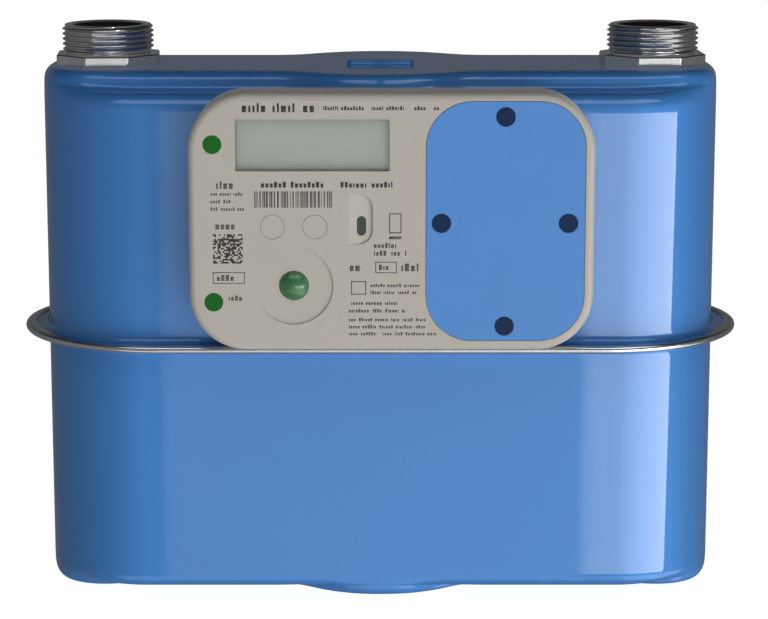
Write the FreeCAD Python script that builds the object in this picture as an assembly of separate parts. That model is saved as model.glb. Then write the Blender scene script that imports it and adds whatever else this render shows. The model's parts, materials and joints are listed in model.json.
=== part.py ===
"""A diaphragm gas meter with a crimped steel case, two threaded nipples and an electronic index.

Millimetres. The origin is the centre of the base face, +Z is up, +X is to the right and the index faces -Y.
"""
import FreeCAD, Part
import math
import os
from FreeCAD import Vector

os.makedirs("parts", exist_ok=True)

X_AXIS = Vector(1, 0, 0)
Y_AXIS = Vector(0, 1, 0)
Z_AXIS = Vector(0, 0, 1)
ORIGIN = Vector(0, 0, 0)

# Allowances shared by every part
CUT = 1.0
MERGE = 0.1
ROUND_TRIM = 1e-3
LEVEL_TOLERANCE = 1e-4
RUNNING = 0.08
SLIP = 0.05

# Drawn steel case
CASE_HALF_WIDTH = 154.3
CASE_HALF_DEPTH = 56.0
CORNER_R = 46.0
END_R = 90.0
SEAM_Z = 118.0
TOP_Z = 239.3
SHEET = 1.2
PLATEAU_HALF_DEPTH = 40.3
PLATEAU_CORNER_R = 28.0
BOSS_R = 55.7
BOSS_BLEND_R = 35.0
EDGE_R = 6.0
TOP_SHOULDER = 15.0
TOP_LEDGE = 7.0
BASE_SHOULDER = 10.5
BASE_LEDGE = 4.5
PAD_SIZE = (30.4, 18.4, 2.0)
PAD_CORNER_R = 2.0

# Seam
FLANGE_STRAIGHT = 98.5
BAND_R = 67.0
BAND_SHEET = 0.5
BAND_LIP = 5.0
FLANGE_SHEET = 1.0
GASKET_SHEET = 0.4
GASKET_CLEARANCE = 0.5
SEAM_GAP = 0.1

# Nipples, G 1 1/4 parallel thread
NIPPLE_X = 125.0
NIPPLE_BORE_R = 16.2
THREAD_R = 20.955
THREAD_PITCH = 2.309
THREAD_DEPTH = 1.479
CREST_FLAT = 0.3
THREAD_TURNS = 5
COLLAR_FLATS = 46.5
COLLAR_SIDES = 8
COLLAR_Z = 244.0
NIPPLE_TOP_Z = 257.2
NIPPLE_RIM = 0.9
SPIGOT_R = 18.0
SPIGOT_Z = 235.5

# Index housing
INDEX_X = (-83.5, 93.5)
INDEX_Z = (121.4, 234.5)
INDEX_CORNER_R = 25.0
INDEX_FACE_Y = -82.0
SPLIT_Y = -72.0
HOUSING_BACK_Y = -58.0
INDEX_WALL = 2.2
FACE_SHEET = 2.5
COVER_EDGE_R = 3.0
GROOVE_DEPTH = 1.0
GROOVE_WIDTH = 1.1
INDEX_GASKET_WIDTH = 1.2
MOUNT_X = (-60.0, 72.0)
MOUNT_Z = (135.0, 222.0)
MOUNT_CORNER_R = 8.0

# Features of the index face, as (x, z)
WINDOW_X = (-62.9, 4.2)
WINDOW_Z = (200.8, 223.5)
WINDOW_CORNER_R = 0.8
PANE_DEPTH = 1.7
PANE_SHEET = 1.4
PANE_MARGIN = 1.2
PANE_CORNER_R = 1.5
PANE_CLEARANCE = 0.1
BUTTON_SPOTS = {"left_button": (-46.9, 176.4), "right_button": (-28.4, 176.4)}
BUTTON_R = 5.2
BUTTON_GAP = 0.2
CAP_COLLAR = 0.8
CAP_COLLAR_REACH = 1.1
CAP_COLLAR_GAP = 0.1
BUTTON_FOOT_R = 1.6
BUTTON_FOOT_Y = -76.8
WAKE_SPOT = (-37.7, 150.3)
WAKE_RING_R = 17.3
WAKE_RING_DEPTH = 0.8
WAKE_R = 6.35
WAKE_RISE = 3.2
PORT_SPOT = (-8.1, 176.7)
PORT_R = 2.0
PORT_LENGTH = 8.6
PORT_Y = (-81.0, -78.6)
PORT_PARTING = 0.02
SCOOP_X = (-13.5, -3.2)
SCOOP_Z = (168.7, 191.0)
SCOOP_CORNER_R = 6.0
SCOOP_DEPTH = 1.5

# Housing screws under their seal plugs
SEAL_PLUG_SPOTS = [(-72.8, 212.5), (-72.8, 143.0)]
SEAL_PLUG_R = 4.1
SEAL_PLUG_Y = (-82.05, -79.0)
SEAL_BOSS_R = 5.6
SEAL_BOSS_END_Y = -73.0
TRAY_BOSS_R = 3.6
TRAY_BOSS_Y = -71.2
HEAD_SEAT_Y = -74.0
HOUSING_SCREW_TOP_Y = -76.6
HOUSING_SCREW_END_Y = -63.0
HOUSING_SCREW_HEAD_R = 2.8
SOCKET_R = 1.3
SOCKET_DEPTH = 1.2
SOCKET_SIDES = 6
SCREW_SHANK_R = 1.5
SCREW_CLEARANCE = 0.2

# Battery cover
BATTERY_COVER_X = (20.1, 89.2)
BATTERY_COVER_Z = (125.9, 231.2)
BATTERY_COVER_R = 20.0
COVER_GAP = 0.25
COVER_SHEET = 2.2
SEAL_SHEET = 0.6
SEAL_INSET = 0.3
LEDGE_WIDTH = 3.0
LEDGE_REACH = 2.0
LEDGE_SHEET = 1.5
SCREW_BOSS_R = 5.2
SCREW_BOSS_END_Y = -76.5
SCREW_END_Y = -77.3
COVER_SCREWS = [(54.4, 224.6), (54.4, 132.3), (26.7, 178.0), (82.0, 178.0)]
COVER_SCREW_HEAD_R = 4.2
COVER_SCREW_HEAD = 1.6
HEAD_GAP = 0.1

# Electronics
BOARD_Y = -74.0
BOARD_SHEET = 1.6
BOARD_X = (-79.0, 15.0)
BOARD_Z = (128.0, 230.0)
BOARD_CORNER_R = 20.0
BOARD_HOLE_R = 6.2
SWITCH_TOP_Y = -75.2
SWITCH_HALF = 3.0
PLUNGER_TOP_Y = -75.6
PLUNGER_R = 1.7
LCD_X = (-64.0, 5.3)
LCD_Y = (-78.7, -76.5)
LCD_Z = (199.8, 224.5)
LCD_CLEARANCE = 0.1
LCD_MARGIN = 2.0
HOLDER_FRONT_Y = -78.0
MODEM_Y = -67.0
MODEM_X = (-60.0, 10.0)
MODEM_Z = (186.0, 226.0)
MODEM_CORNER_R = 3.0
MODEM_SHEET = 1.2
HEADER_X = (-50.0, -20.0)
HEADER_Z = (190.0, 193.0)
ANTENNA_X = (-56.0, 6.0)
ANTENNA_Z = (218.0, 224.0)
ANTENNA_RISE = 3.0
ANTENNA_SHEET = 0.4
ANTENNA_LEGS = (-56.0, -20.0)
ANTENNA_LEG = 0.6
SENSOR_X = (-9.0, 9.0)
SENSOR_Z = (126.0, 146.0)
SENSOR_SHEET = 1.2
CHIP_X = (-2.0, 2.0)
CHIP_Z = (129.0, 133.0)
CHIP_SHEET = 1.2
CELL_R = 7.25
CELL_LENGTH = 50.5
CELL_TIP = 1.5
CELL_TIP_R = 2.5
CELL_SPOTS = [34.0, 54.4, 74.8]
CELL_Y = -68.8
CELL_BASE_Z = 152.0
CELL_CLEARANCE = 0.3
TRAY_X = (24.5, 84.5)
TRAY_Z = (148.0, 207.5)
TRAY_CORNER_R = 3.0
TRAY_LIP = 1.0

# Measuring unit
BODY_HALF_X = 108.0
BODY_HALF_Y = 25.5
BODY_Z = (8.0, 108.0)
BODY_CORNER_R = 14.0
CHAMBER_HALF_X = 96.0
CHAMBER_Z = (14.0, 102.0)
CHAMBER_CORNER_R = 30.0
PARTITION = 3.0
DIAPHRAGM_SHEET = 1.2
DIAPHRAGM_INSET = 2.0
DIAPHRAGM_OPENING = (77.0, 30.0, 86.0, 22.0)
PLATE_HALF_X = 76.0
PLATE_Z = (31.0, 85.0)
PLATE_CORNER_R = 21.0
PLATE_SHEET = 1.4
RIVET_X = (-50.0, 50.0)
RIVET_Z = (42.0, 74.0)
RIVET_R = 2.0
EAR_R = 2.5
EAR_HEIGHT = 3.0
HINGE_HALF = 10.0
HINGE_PIN_R = 1.0
PAN_SHEET = 2.0
PAN_Y = 48.0
MID_Z = 58.0

# Flags and links
SIDES = {"front": -1, "rear": 1}
FLAG_X = 44.0
FLAG_Y = 12.0
FLAG_ROD_R = 2.5
FLAG_SOCKET_FLOOR = 2.0
FLAG_END_GAP = 0.3
WING_END_X = -1.6
WING_SHEET = 1.4
WING_HALF = 9.0
BARREL_R = 2.3
FLAG_ARM = 24.4
FLAG_ARM_ANGLES = {"front": 72.9, "rear": 137.7}
ARM_Z = {"front": 131.0, "rear": 132.8}
ARM_SHEET = 1.6
ARM_HALF_WIDTH = 3.6
LINK_SHEET = 1.4
LINK_GAP = 0.4
LINK_HALF_WIDTH = 3.0
PIN_R = 1.4
PIN_PROUD = 0.4

# Distributor, valve and gears
DISTRIBUTOR_Z = (108.0, 114.0)
DISTRIBUTOR_CORNER_R = 10.0
BRACKET_FOOT_X = (-8.0, 8.0)
BRACKET_FOOT_Y = (-44.0, -20.0)
BRACKET_FOOT_R = 4.0
BRACKET_HALF_WIDTH = 6.0
BRACKET_GAP = 1.2
CHANNEL_FLOOR = 2.0
GAS_PORT_X = (8.0, 18.0)
GAS_PORT_Y = (-4.0, 4.0)
GAS_PORT_R = 2.0
GAS_PORT_TURNS = (45, 135, 225, 315)
SEAT_R = 25.0
SEAT_Z = (114.0, 117.0)
VALVE_R = 22.0
VALVE_Z = (117.1, 121.0)
VALVE_ROOF = 1.5
VALVE_POCKET_R = 19.5
VALVE_HUB_R = 6.5
VALVE_POCKET_EDGE_Y = 2.0
BUSH_R = 5.0
BUSH_RECESS = 0.5
CRANK_R = 2.0
CRANK_RECESS = 1.0
CRANK_THROW = 4.0
CRANK_PIN_Z = 132.6
THROW_DISC_R = 8.0
THROW_DISC = 1.2
GEAR_Z = (124.0, 128.0)
GEAR_MODULE = 1.0
GEAR_ADDENDUM = 0.8
GEAR_DEDENDUM = 1.15
TOOTH_ROOT_SHARE = 0.36
TOOTH_TIP_SHARE = 0.13
CRANK_TEETH = 48
MAGNET_TEETH = 24
MAGNET_PIN_R = 1.5
MAGNET_R = 7.0
MAGNET_HEIGHT = 5.0
MAGNET_HUB = 1.0

# Outlet duct and tube, and the shut-off valve
TUBE_R = 18.0
TUBE_Z = (128.0, 234.0)
THROAT_R = 16.6
CHANNEL_X = (30.0, 112.0)
CHANNEL_Y = (-18.0, 2.0)
CHANNEL_CORNER_R = 3.0
DUCT_END_X = (104.0, 146.0)
DUCT_END_Y = (-20.5, 20.5)
DUCT_END_CORNER_R = 14.0
DUCT_TOP_Z = 126.0
DUCT_WALL = 2.0
DUCT_SOCKET_Z = 134.0
VALVE_BODY_Z = (203.0, 235.5)
FLAP_Z = 218.0
FLAP_R = 16.1
FLAP_SHEET = 2.0
FLAP_SHAFT_R = 1.5
FLAP_SHAFT_Y = (-17.5, 21.0)
MOTOR_Y = (20.5, 41.0)
MOTOR_R = 8.0
MOTOR_SOCKET = 3.5
MOTOR_FOOT_HALF = 10.0
MOTOR_FOOT_Y = (16.0, 30.0)
MOTOR_FOOT_Z = (208.0, 211.0)


def box(x, y, z):
    """A block from three (low, high) pairs."""
    return Part.makeBox(x[1] - x[0], y[1] - y[0], z[1] - z[0], Vector(x[0], y[0], z[0]))


def rod_z(x, y, z, r):
    return Part.makeCylinder(r, z[1] - z[0], Vector(x, y, z[0]))


def rod_y(x, z, y, r):
    return Part.makeCylinder(r, y[1] - y[0], Vector(x, y[0], z), Y_AXIS)


def arc(cx, cy, r, start, end):
    """A plan arc between two angles in degrees."""
    points = []
    for angle in (start, (start + end) / 2, end):
        turn = math.radians(angle)
        points.append(Vector(cx + r * math.cos(turn), cy + r * math.sin(turn), 0))
    return Part.Arc(*points).toShape()


def line(x0, y0, x1, y1):
    return Part.LineSegment(Vector(x0, y0, 0), Vector(x1, y1, 0)).toShape()


def with_half_turn(edges):
    """Closes an outline that looks the same after half a turn about Z."""
    turned = []
    for edge in edges:
        copy = edge.copy()
        copy.rotate(ORIGIN, Z_AXIS, 180)
        turned.append(copy)
    return Part.Wire(edges + turned)


def extrude_z(wire, z):
    face = Part.Face(wire)
    face.translate(Vector(0, 0, z[0]))
    return face.extrude(Vector(0, 0, z[1] - z[0]))


def rounded_plan(x, y, r, z):
    """An upright block with round corners."""
    edges = [
        line(x[1], y[0] + r, x[1], y[1] - r),
        arc(x[1] - r, y[1] - r, r, 0, 90),
        line(x[1] - r, y[1], x[0] + r, y[1]),
        arc(x[0] + r, y[1] - r, r, 90, 180),
        line(x[0], y[1] - r, x[0], y[0] + r),
        arc(x[0] + r, y[0] + r, r, 180, 270),
        line(x[0] + r, y[0], x[1] - r, y[0]),
        arc(x[1] - r, y[0] + r, r, 270, 360),
    ]
    return extrude_z(Part.Wire(edges), z)


def rounded_front(x, z, r, y):
    """A block with round corners as seen from the front."""
    slab = rounded_plan(x, (-z[1], -z[0]), r, (y[0], y[1]))
    slab.rotate(ORIGIN, X_AXIS, -90)
    return slab


def grown(pair, by):
    return (pair[0] - by, pair[1] + by)


def half_turn(shape):
    copy = shape.copy()
    copy.rotate(ORIGIN, Z_AXIS, 180)
    return copy


def tube(x, y, z, outer_r, inner_r):
    return rod_z(x, y, z, outer_r).cut(rod_z(x, y, grown(z, CUT), inner_r))


def regular_corners(r, sides, first):
    """The corners of a regular outline, closed, from a first angle in degrees."""
    corners = []
    for side in range(sides + 1):
        turn = math.radians(first + 360 * side / sides)
        corners.append((r * math.cos(turn), r * math.sin(turn)))
    return corners


def edges_at(shape, z):
    """The edges that lie in one level plane."""
    found = []
    for edge in shape.Edges:
        span = edge.BoundBox
        if abs(span.ZMin - z) < LEVEL_TOLERANCE and abs(span.ZMax - z) < LEVEL_TOLERANCE:
            found.append(edge)
    return found


def save(name, shape):
    shape.exportStep("parts/" + name + ".step")


def case_outline(inset):
    """Flat sides, a tight arc at each corner and one large arc across each end."""
    corner = CORNER_R - inset
    end = END_R - inset
    end_x = CASE_HALF_WIDTH - END_R
    corner_y = CASE_HALF_DEPTH - CORNER_R
    corner_x = end_x + math.sqrt((END_R - CORNER_R) ** 2 - corner_y ** 2)
    slant = math.degrees(math.atan2(corner_y, corner_x - end_x))
    side = CASE_HALF_DEPTH - inset
    return with_half_turn([
        arc(end_x, 0, end, -slant, slant),
        arc(corner_x, corner_y, corner, slant, 90),
        line(corner_x, side, -corner_x, side),
        arc(-corner_x, corner_y, corner, 90, 180 - slant),
    ])


def plateau_outline(inset):
    """The raised panel: straight sides that swell to a round boss at the middle."""
    half = PLATEAU_HALF_DEPTH - inset
    end = CASE_HALF_WIDTH - inset
    r = PLATEAU_CORNER_R - inset
    boss = BOSS_R - inset
    blend = BOSS_BLEND_R + inset
    blend_y = half + blend
    blend_x = math.sqrt((boss + blend) ** 2 - blend_y ** 2)
    tangent = math.degrees(math.atan2(blend_y, blend_x))
    return with_half_turn([
        line(end, -(half - r), end, half - r),
        arc(end - r, half - r, r, 0, 90),
        line(end - r, half, blend_x, half),
        arc(blend_x, blend_y, blend, 270, 180 + tangent),
        arc(0, 0, boss, tangent, 180 - tangent),
        arc(-blend_x, blend_y, blend, 360 - tangent, 270),
        line(-blend_x, half, -(end - r), half),
        arc(-(end - r), half - r, r, 90, 180),
    ])


def rounded_block(wire, height, r):
    """An upright block whose upper edge is rounded."""
    block = extrude_z(wire, (0, height))
    return block.makeFillet(r, edges_at(block, height))


def drawn_shell(inset, height, shoulder, ledge):
    """One case half as a filled solid, standing on the seam plane with its panel upwards."""
    top = height - inset
    wall = rounded_block(case_outline(inset), top - ledge, shoulder - ledge - inset)
    envelope = rounded_block(case_outline(inset), top, EDGE_R - inset)
    panel = rounded_block(plateau_outline(inset), top, EDGE_R - inset)
    return wall.fuse(panel.common(envelope))


def stadium(inset, z):
    r = BAND_R - inset
    return rounded_plan((-FLANGE_STRAIGHT - r, FLANGE_STRAIGHT + r), (-r, r), r - ROUND_TRIM, z)


def case_half(height, shoulder, ledge):
    """A hollow case half with its flange, standing on the seam plane."""
    outer = drawn_shell(0, height, shoulder, ledge)
    inner = drawn_shell(SHEET, height, shoulder, ledge)
    flange_z = (GASKET_SHEET / 2, GASKET_SHEET / 2 + FLANGE_SHEET)
    flange = stadium(BAND_SHEET + SEAM_GAP, flange_z)
    below = box((-CASE_HALF_WIDTH, CASE_HALF_WIDTH), (-BAND_R, BAND_R), (-CUT, GASKET_SHEET / 2))
    return outer.fuse(flange).cut(inner).cut(below)


def upper_case():
    half = case_half(TOP_Z - SEAM_Z, TOP_SHOULDER, TOP_LEDGE)
    half.translate(Vector(0, 0, SEAM_Z))
    length, depth, rise = PAD_SIZE
    pad_z = (TOP_Z - SHEET / 2, TOP_Z + rise)
    half = half.fuse(rounded_plan((-length / 2, length / 2), (-depth / 2, depth / 2), PAD_CORNER_R, pad_z))
    for side in SIDES.values():
        half = half.cut(rod_z(side * NIPPLE_X, 0, grown((TOP_Z - SHEET, TOP_Z), SHEET), SPIGOT_R))
    return half


def lower_case():
    half = case_half(SEAM_Z, BASE_SHOULDER, BASE_LEDGE)
    half.rotate(ORIGIN, X_AXIS, 180)
    half.translate(Vector(0, 0, SEAM_Z))
    return half


def seam_band():
    """A ring of U section folded over both flanges."""
    reach = GASKET_SHEET / 2 + FLANGE_SHEET
    inner = (SEAM_Z - reach, SEAM_Z + reach)
    outer = grown(inner, BAND_SHEET)
    ring = stadium(0, outer).cut(stadium(BAND_SHEET, inner))
    return ring.cut(stadium(BAND_LIP, grown(outer, CUT)))


def case_gasket():
    z = (SEAM_Z - GASKET_SHEET / 2, SEAM_Z + GASKET_SHEET / 2)
    inner = extrude_z(case_outline(-GASKET_CLEARANCE), grown(z, CUT))
    return stadium(BAND_SHEET + SEAM_GAP, z).cut(inner)


def nipple_profile():
    """Half the tube's section as (radius, height): spigot, thread root and crests, rim and bore."""
    root = THREAD_R - THREAD_DEPTH
    crest_rise = (THREAD_PITCH - CREST_FLAT) / 2
    thread_top = NIPPLE_TOP_Z - NIPPLE_RIM
    profile = [(NIPPLE_BORE_R, SPIGOT_Z), (SPIGOT_R, SPIGOT_Z), (SPIGOT_R, COLLAR_Z), (root, COLLAR_Z)]
    for turn in range(THREAD_TURNS, 0, -1):
        z = thread_top - turn * THREAD_PITCH
        profile.append((root, z))
        profile.append((THREAD_R, z + crest_rise))
        profile.append((THREAD_R, z + crest_rise + CREST_FLAT))
    return profile + [(root, thread_top), (root, NIPPLE_TOP_Z), (NIPPLE_BORE_R, NIPPLE_TOP_Z)]


def nipple_collar():
    corner_r = COLLAR_FLATS / 2 / math.cos(math.pi / COLLAR_SIDES)
    corners = regular_corners(corner_r, COLLAR_SIDES, 180 / COLLAR_SIDES)
    collar = extrude_z(Part.makePolygon([Vector(x, y, 0) for x, y in corners]), (TOP_Z, COLLAR_Z))
    return collar.cut(rod_z(0, 0, grown((TOP_Z, COLLAR_Z), CUT), (NIPPLE_BORE_R + SPIGOT_R) / 2))


def nipple(x):
    """A bored and threaded tube on an octagonal collar."""
    points = [Vector(r, 0, z) for r, z in nipple_profile()]
    face = Part.Face(Part.makePolygon(points + points[:1]))
    whole = face.revolve(ORIGIN, Z_AXIS, 360).fuse(nipple_collar())
    whole.translate(Vector(x, 0, 0))
    return whole


def index_block(inset, y):
    return rounded_front(grown(INDEX_X, -inset), grown(INDEX_Z, -inset), INDEX_CORNER_R - inset, y)


def mounting_plate():
    return rounded_front(MOUNT_X, MOUNT_Z, MOUNT_CORNER_R, (HOUSING_BACK_Y, -CASE_HALF_DEPTH))


def rear_housing():
    """The tray behind the split line, with a boss for each housing screw."""
    floor = HOUSING_BACK_Y - INDEX_WALL
    tray = index_block(0, (SPLIT_Y, HOUSING_BACK_Y))
    tray = tray.cut(index_block(INDEX_WALL, (SPLIT_Y - CUT, floor)))
    for x, z in SEAL_PLUG_SPOTS:
        tray = tray.fuse(rod_y(x, z, (TRAY_BOSS_Y, floor + MERGE), TRAY_BOSS_R))
        tray = tray.cut(rod_y(x, z, (TRAY_BOSS_Y - CUT, floor), SCREW_SHANK_R))
    return tray


def index_gasket():
    """The seal between the two halves, set back so that a groove runs round the housing."""
    y = (SPLIT_Y - GROOVE_WIDTH, SPLIT_Y)
    return index_block(GROOVE_DEPTH, y).cut(index_block(GROOVE_DEPTH + INDEX_GASKET_WIDTH, grown(y, CUT)))


def scoop():
    """The finger scoop over the optical port: flush at its straight edge, deepest at its round one."""
    x0, x1 = SCOOP_X
    bottom, top = SCOOP_Z
    front = INDEX_FACE_Y - CUT
    back = INDEX_FACE_Y + SCOOP_DEPTH
    outline = rounded_front((x0 - SCOOP_CORNER_R, x1), SCOOP_Z, SCOOP_CORNER_R, (front, back))
    corners = [
        Vector(x0, INDEX_FACE_Y, bottom),
        Vector(x1 + CUT, back, bottom),
        Vector(x1 + CUT, front, bottom),
        Vector(x0, front, bottom),
    ]
    wedge = Part.Face(Part.makePolygon(corners + corners[:1])).extrude(Vector(0, 0, top - bottom))
    return outline.common(wedge)


def port_slot(grow, y):
    x, z = PORT_SPOT
    r = PORT_R + grow
    half = PORT_LENGTH / 2 + grow
    return rounded_front((x - r, x + r), (z - half, z + half), r - ROUND_TRIM, y)


def with_seal_boss(cover, x, z):
    """Adds the stepped boss for one housing screw and the seal plug over it."""
    bore = grown((HEAD_SEAT_Y, SEAL_BOSS_END_Y), CUT)
    cover = cover.fuse(rod_y(x, z, (INDEX_FACE_Y + FACE_SHEET - MERGE, SEAL_BOSS_END_Y), SEAL_BOSS_R))
    cover = cover.cut(rod_y(x, z, (INDEX_FACE_Y - CUT, HEAD_SEAT_Y), SEAL_PLUG_R + SLIP))
    return cover.cut(rod_y(x, z, bore, SCREW_SHANK_R + SCREW_CLEARANCE))


def front_cover():
    """The face of the index, with its openings, the battery cover's ledge and the screw bosses."""
    outer = index_block(0, (INDEX_FACE_Y, SPLIT_Y - GROOVE_WIDTH))
    rim = [e for e in outer.Edges if e.BoundBox.YMax < INDEX_FACE_Y + LEVEL_TOLERANCE]
    outer = outer.makeFillet(COVER_EDGE_R, rim)
    face_back = INDEX_FACE_Y + FACE_SHEET
    through = grown((INDEX_FACE_Y, face_back), CUT)
    cover = outer.cut(index_block(INDEX_WALL, (face_back, SPLIT_Y)))
    cover = cover.fuse(battery_ledge())
    cover = cover.cut(rounded_front(WINDOW_X, WINDOW_Z, WINDOW_CORNER_R, through))
    cover = cover.cut(window_pane(PANE_CLEARANCE))
    for x, z in SEAL_PLUG_SPOTS:
        cover = with_seal_boss(cover, x, z)
    for x, z in BUTTON_SPOTS.values():
        cover = cover.cut(rod_y(x, z, through, BUTTON_R + BUTTON_GAP))
    x, z = WAKE_SPOT
    cover = cover.cut(rod_y(x, z, (INDEX_FACE_Y - CUT, INDEX_FACE_Y + WAKE_RING_DEPTH), WAKE_RING_R))
    cover = cover.cut(rod_y(x, z, through, WAKE_R + BUTTON_GAP))
    return cover.cut(scoop()).cut(port_slot(SLIP, through))


def cover_opening(y):
    """The clear opening inside the ledge."""
    return rounded_front(grown(BATTERY_COVER_X, -LEDGE_WIDTH), grown(BATTERY_COVER_Z, -LEDGE_WIDTH),
                         BATTERY_COVER_R - LEDGE_WIDTH, y)


def battery_ledge():
    """The step behind the battery opening that carries the seal and takes the cover's screws."""
    ledge_front = INDEX_FACE_Y + COVER_SHEET + SEAL_SHEET
    y = (INDEX_FACE_Y + FACE_SHEET - MERGE, ledge_front + LEDGE_SHEET)
    ring = rounded_front(grown(BATTERY_COVER_X, LEDGE_REACH), grown(BATTERY_COVER_Z, LEDGE_REACH),
                         BATTERY_COVER_R + LEDGE_REACH, y)
    ring = ring.cut(cover_opening(grown(y, CUT)))
    return ring.fuse([rod_y(x, z, (ledge_front, SCREW_BOSS_END_Y), SCREW_BOSS_R) for x, z in COVER_SCREWS])


def cover_pocket():
    """The space that the battery cover and its seal fill, with the screw holes below it."""
    y = (INDEX_FACE_Y - CUT, INDEX_FACE_Y + COVER_SHEET + SEAL_SHEET)
    pocket = rounded_front(grown(BATTERY_COVER_X, COVER_GAP), grown(BATTERY_COVER_Z, COVER_GAP),
                           BATTERY_COVER_R + COVER_GAP, y)
    holes = [rod_y(x, z, (y[0], SCREW_END_Y), SCREW_SHANK_R) for x, z in COVER_SCREWS]
    return pocket.fuse(holes)


def battery_cover():
    y = (INDEX_FACE_Y, INDEX_FACE_Y + COVER_SHEET)
    plate = rounded_front(BATTERY_COVER_X, BATTERY_COVER_Z, BATTERY_COVER_R, y)
    for x, z in COVER_SCREWS:
        plate = plate.cut(rod_y(x, z, (y[0] - CUT, y[0] + COVER_SCREW_HEAD), COVER_SCREW_HEAD_R + HEAD_GAP))
        plate = plate.cut(rod_y(x, z, grown(y, CUT), SCREW_SHANK_R + SCREW_CLEARANCE))
    return plate


def battery_cover_seal():
    y = (INDEX_FACE_Y + COVER_SHEET, INDEX_FACE_Y + COVER_SHEET + SEAL_SHEET)
    ring = rounded_front(grown(BATTERY_COVER_X, -SEAL_INSET), grown(BATTERY_COVER_Z, -SEAL_INSET),
                         BATTERY_COVER_R - SEAL_INSET, y)
    return ring.cut(cover_opening(grown(y, CUT)))


def cover_screw(x, z):
    """A plain shank under a nearly flush round head, whose drive is closed by a sealing cap."""
    head_back = INDEX_FACE_Y + COVER_SCREW_HEAD
    head = rod_y(x, z, (INDEX_FACE_Y + HEAD_GAP, head_back), COVER_SCREW_HEAD_R)
    return head.fuse(rod_y(x, z, (head_back, SCREW_END_Y), SCREW_SHANK_R))


def index_screw(x, z):
    """A hexagon socket screw that holds the front cover to the rear housing."""
    head = rod_y(x, z, (HOUSING_SCREW_TOP_Y, HEAD_SEAT_Y), HOUSING_SCREW_HEAD_R)
    shank = rod_y(x, z, (HEAD_SEAT_Y, HOUSING_SCREW_END_Y), SCREW_SHANK_R)
    corners = regular_corners(SOCKET_R, SOCKET_SIDES, 0)
    outline = Part.makePolygon([Vector(x + dx, HOUSING_SCREW_TOP_Y, z + dz) for dx, dz in corners])
    return head.fuse(shank).cut(Part.Face(outline).extrude(Vector(0, SOCKET_DEPTH, 0)))


def seal_plug(x, z):
    return rod_y(x, z, SEAL_PLUG_Y, SEAL_PLUG_R)


def window_pane(grow):
    margin = PANE_MARGIN + grow
    y = (INDEX_FACE_Y + PANE_DEPTH, INDEX_FACE_Y + PANE_DEPTH + PANE_SHEET)
    return rounded_front(grown(WINDOW_X, margin), grown(WINDOW_Z, margin), PANE_CORNER_R, y)


def button_base(x, z, r, front):
    """A cap's wall, the collar that keeps it behind the face and the foot for its switch."""
    collar_front = INDEX_FACE_Y + FACE_SHEET + CAP_COLLAR_GAP
    collar_back = collar_front + CAP_COLLAR
    cap = rod_y(x, z, (front, collar_back), r)
    collar = rod_y(x, z, (collar_front, collar_back), r + CAP_COLLAR_REACH)
    return cap.fuse(collar).fuse(rod_y(x, z, (collar_back, BUTTON_FOOT_Y), BUTTON_FOOT_R))


def push_button(x, z):
    """A flat cap, flush with the face."""
    return button_base(x, z, BUTTON_R, INDEX_FACE_Y)


def wake_button():
    """A domed cap in the middle of its round recess."""
    x, z = WAKE_SPOT
    base = INDEX_FACE_Y + WAKE_RING_DEPTH
    ball_r = (WAKE_R ** 2 + WAKE_RISE ** 2) / (2 * WAKE_RISE)
    ball = Part.makeSphere(ball_r, Vector(x, base - WAKE_RISE + ball_r, z))
    dome = ball.common(rod_y(x, z, (base - WAKE_RISE - CUT, base), WAKE_R))
    return dome.fuse(button_base(x, z, WAKE_R, base))


def tact_switches():
    solids = []
    for x, z in list(BUTTON_SPOTS.values()) + [WAKE_SPOT]:
        base = box(grown((x, x), SWITCH_HALF), (SWITCH_TOP_Y, BOARD_Y), grown((z, z), SWITCH_HALF))
        solids.append(base.fuse(rod_y(x, z, (PLUNGER_TOP_Y, SWITCH_TOP_Y), PLUNGER_R)))
    return Part.makeCompound(solids)


def port_piece(upper):
    """Half of the optical port's window: the status lens above, the infrared window below."""
    x, z = PORT_SPOT
    span = (z + PORT_PARTING, z + PORT_LENGTH) if upper else (z - PORT_LENGTH, z - PORT_PARTING)
    return port_slot(0, PORT_Y).common(box(grown((x, x), PORT_LENGTH), grown(PORT_Y, CUT), span))


def main_board():
    y = (BOARD_Y, BOARD_Y + BOARD_SHEET)
    board = rounded_front(BOARD_X, BOARD_Z, BOARD_CORNER_R, y)
    for x, z in SEAL_PLUG_SPOTS:
        board = board.cut(rod_y(x, z, grown(y, CUT), BOARD_HOLE_R))
    return board


def modem_board():
    return rounded_front(MODEM_X, MODEM_Z, MODEM_CORNER_R, (MODEM_Y, MODEM_Y + MODEM_SHEET))


def board_header():
    return box(HEADER_X, (BOARD_Y + BOARD_SHEET, MODEM_Y), HEADER_Z)


def antenna():
    """A bent metal strip that stands on the modem board."""
    front = MODEM_Y - ANTENNA_RISE
    strip = box(ANTENNA_X, (front, front + ANTENNA_SHEET), ANTENNA_Z)
    for x in ANTENNA_LEGS:
        strip = strip.fuse(box((x, x + ANTENNA_LEG), (front, MODEM_Y), ANTENNA_Z))
    return strip


def pulse_sensor():
    """A small board near the back wall, with its sensor chip facing the magnet."""
    back = HOUSING_BACK_Y - INDEX_WALL
    board_back = back - CHIP_SHEET
    board = box(SENSOR_X, (board_back - SENSOR_SHEET, board_back), SENSOR_Z)
    return board.fuse(box(CHIP_X, (board_back - MERGE, back), CHIP_Z))


def lcd_panel():
    return box(LCD_X, LCD_Y, LCD_Z)


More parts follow.
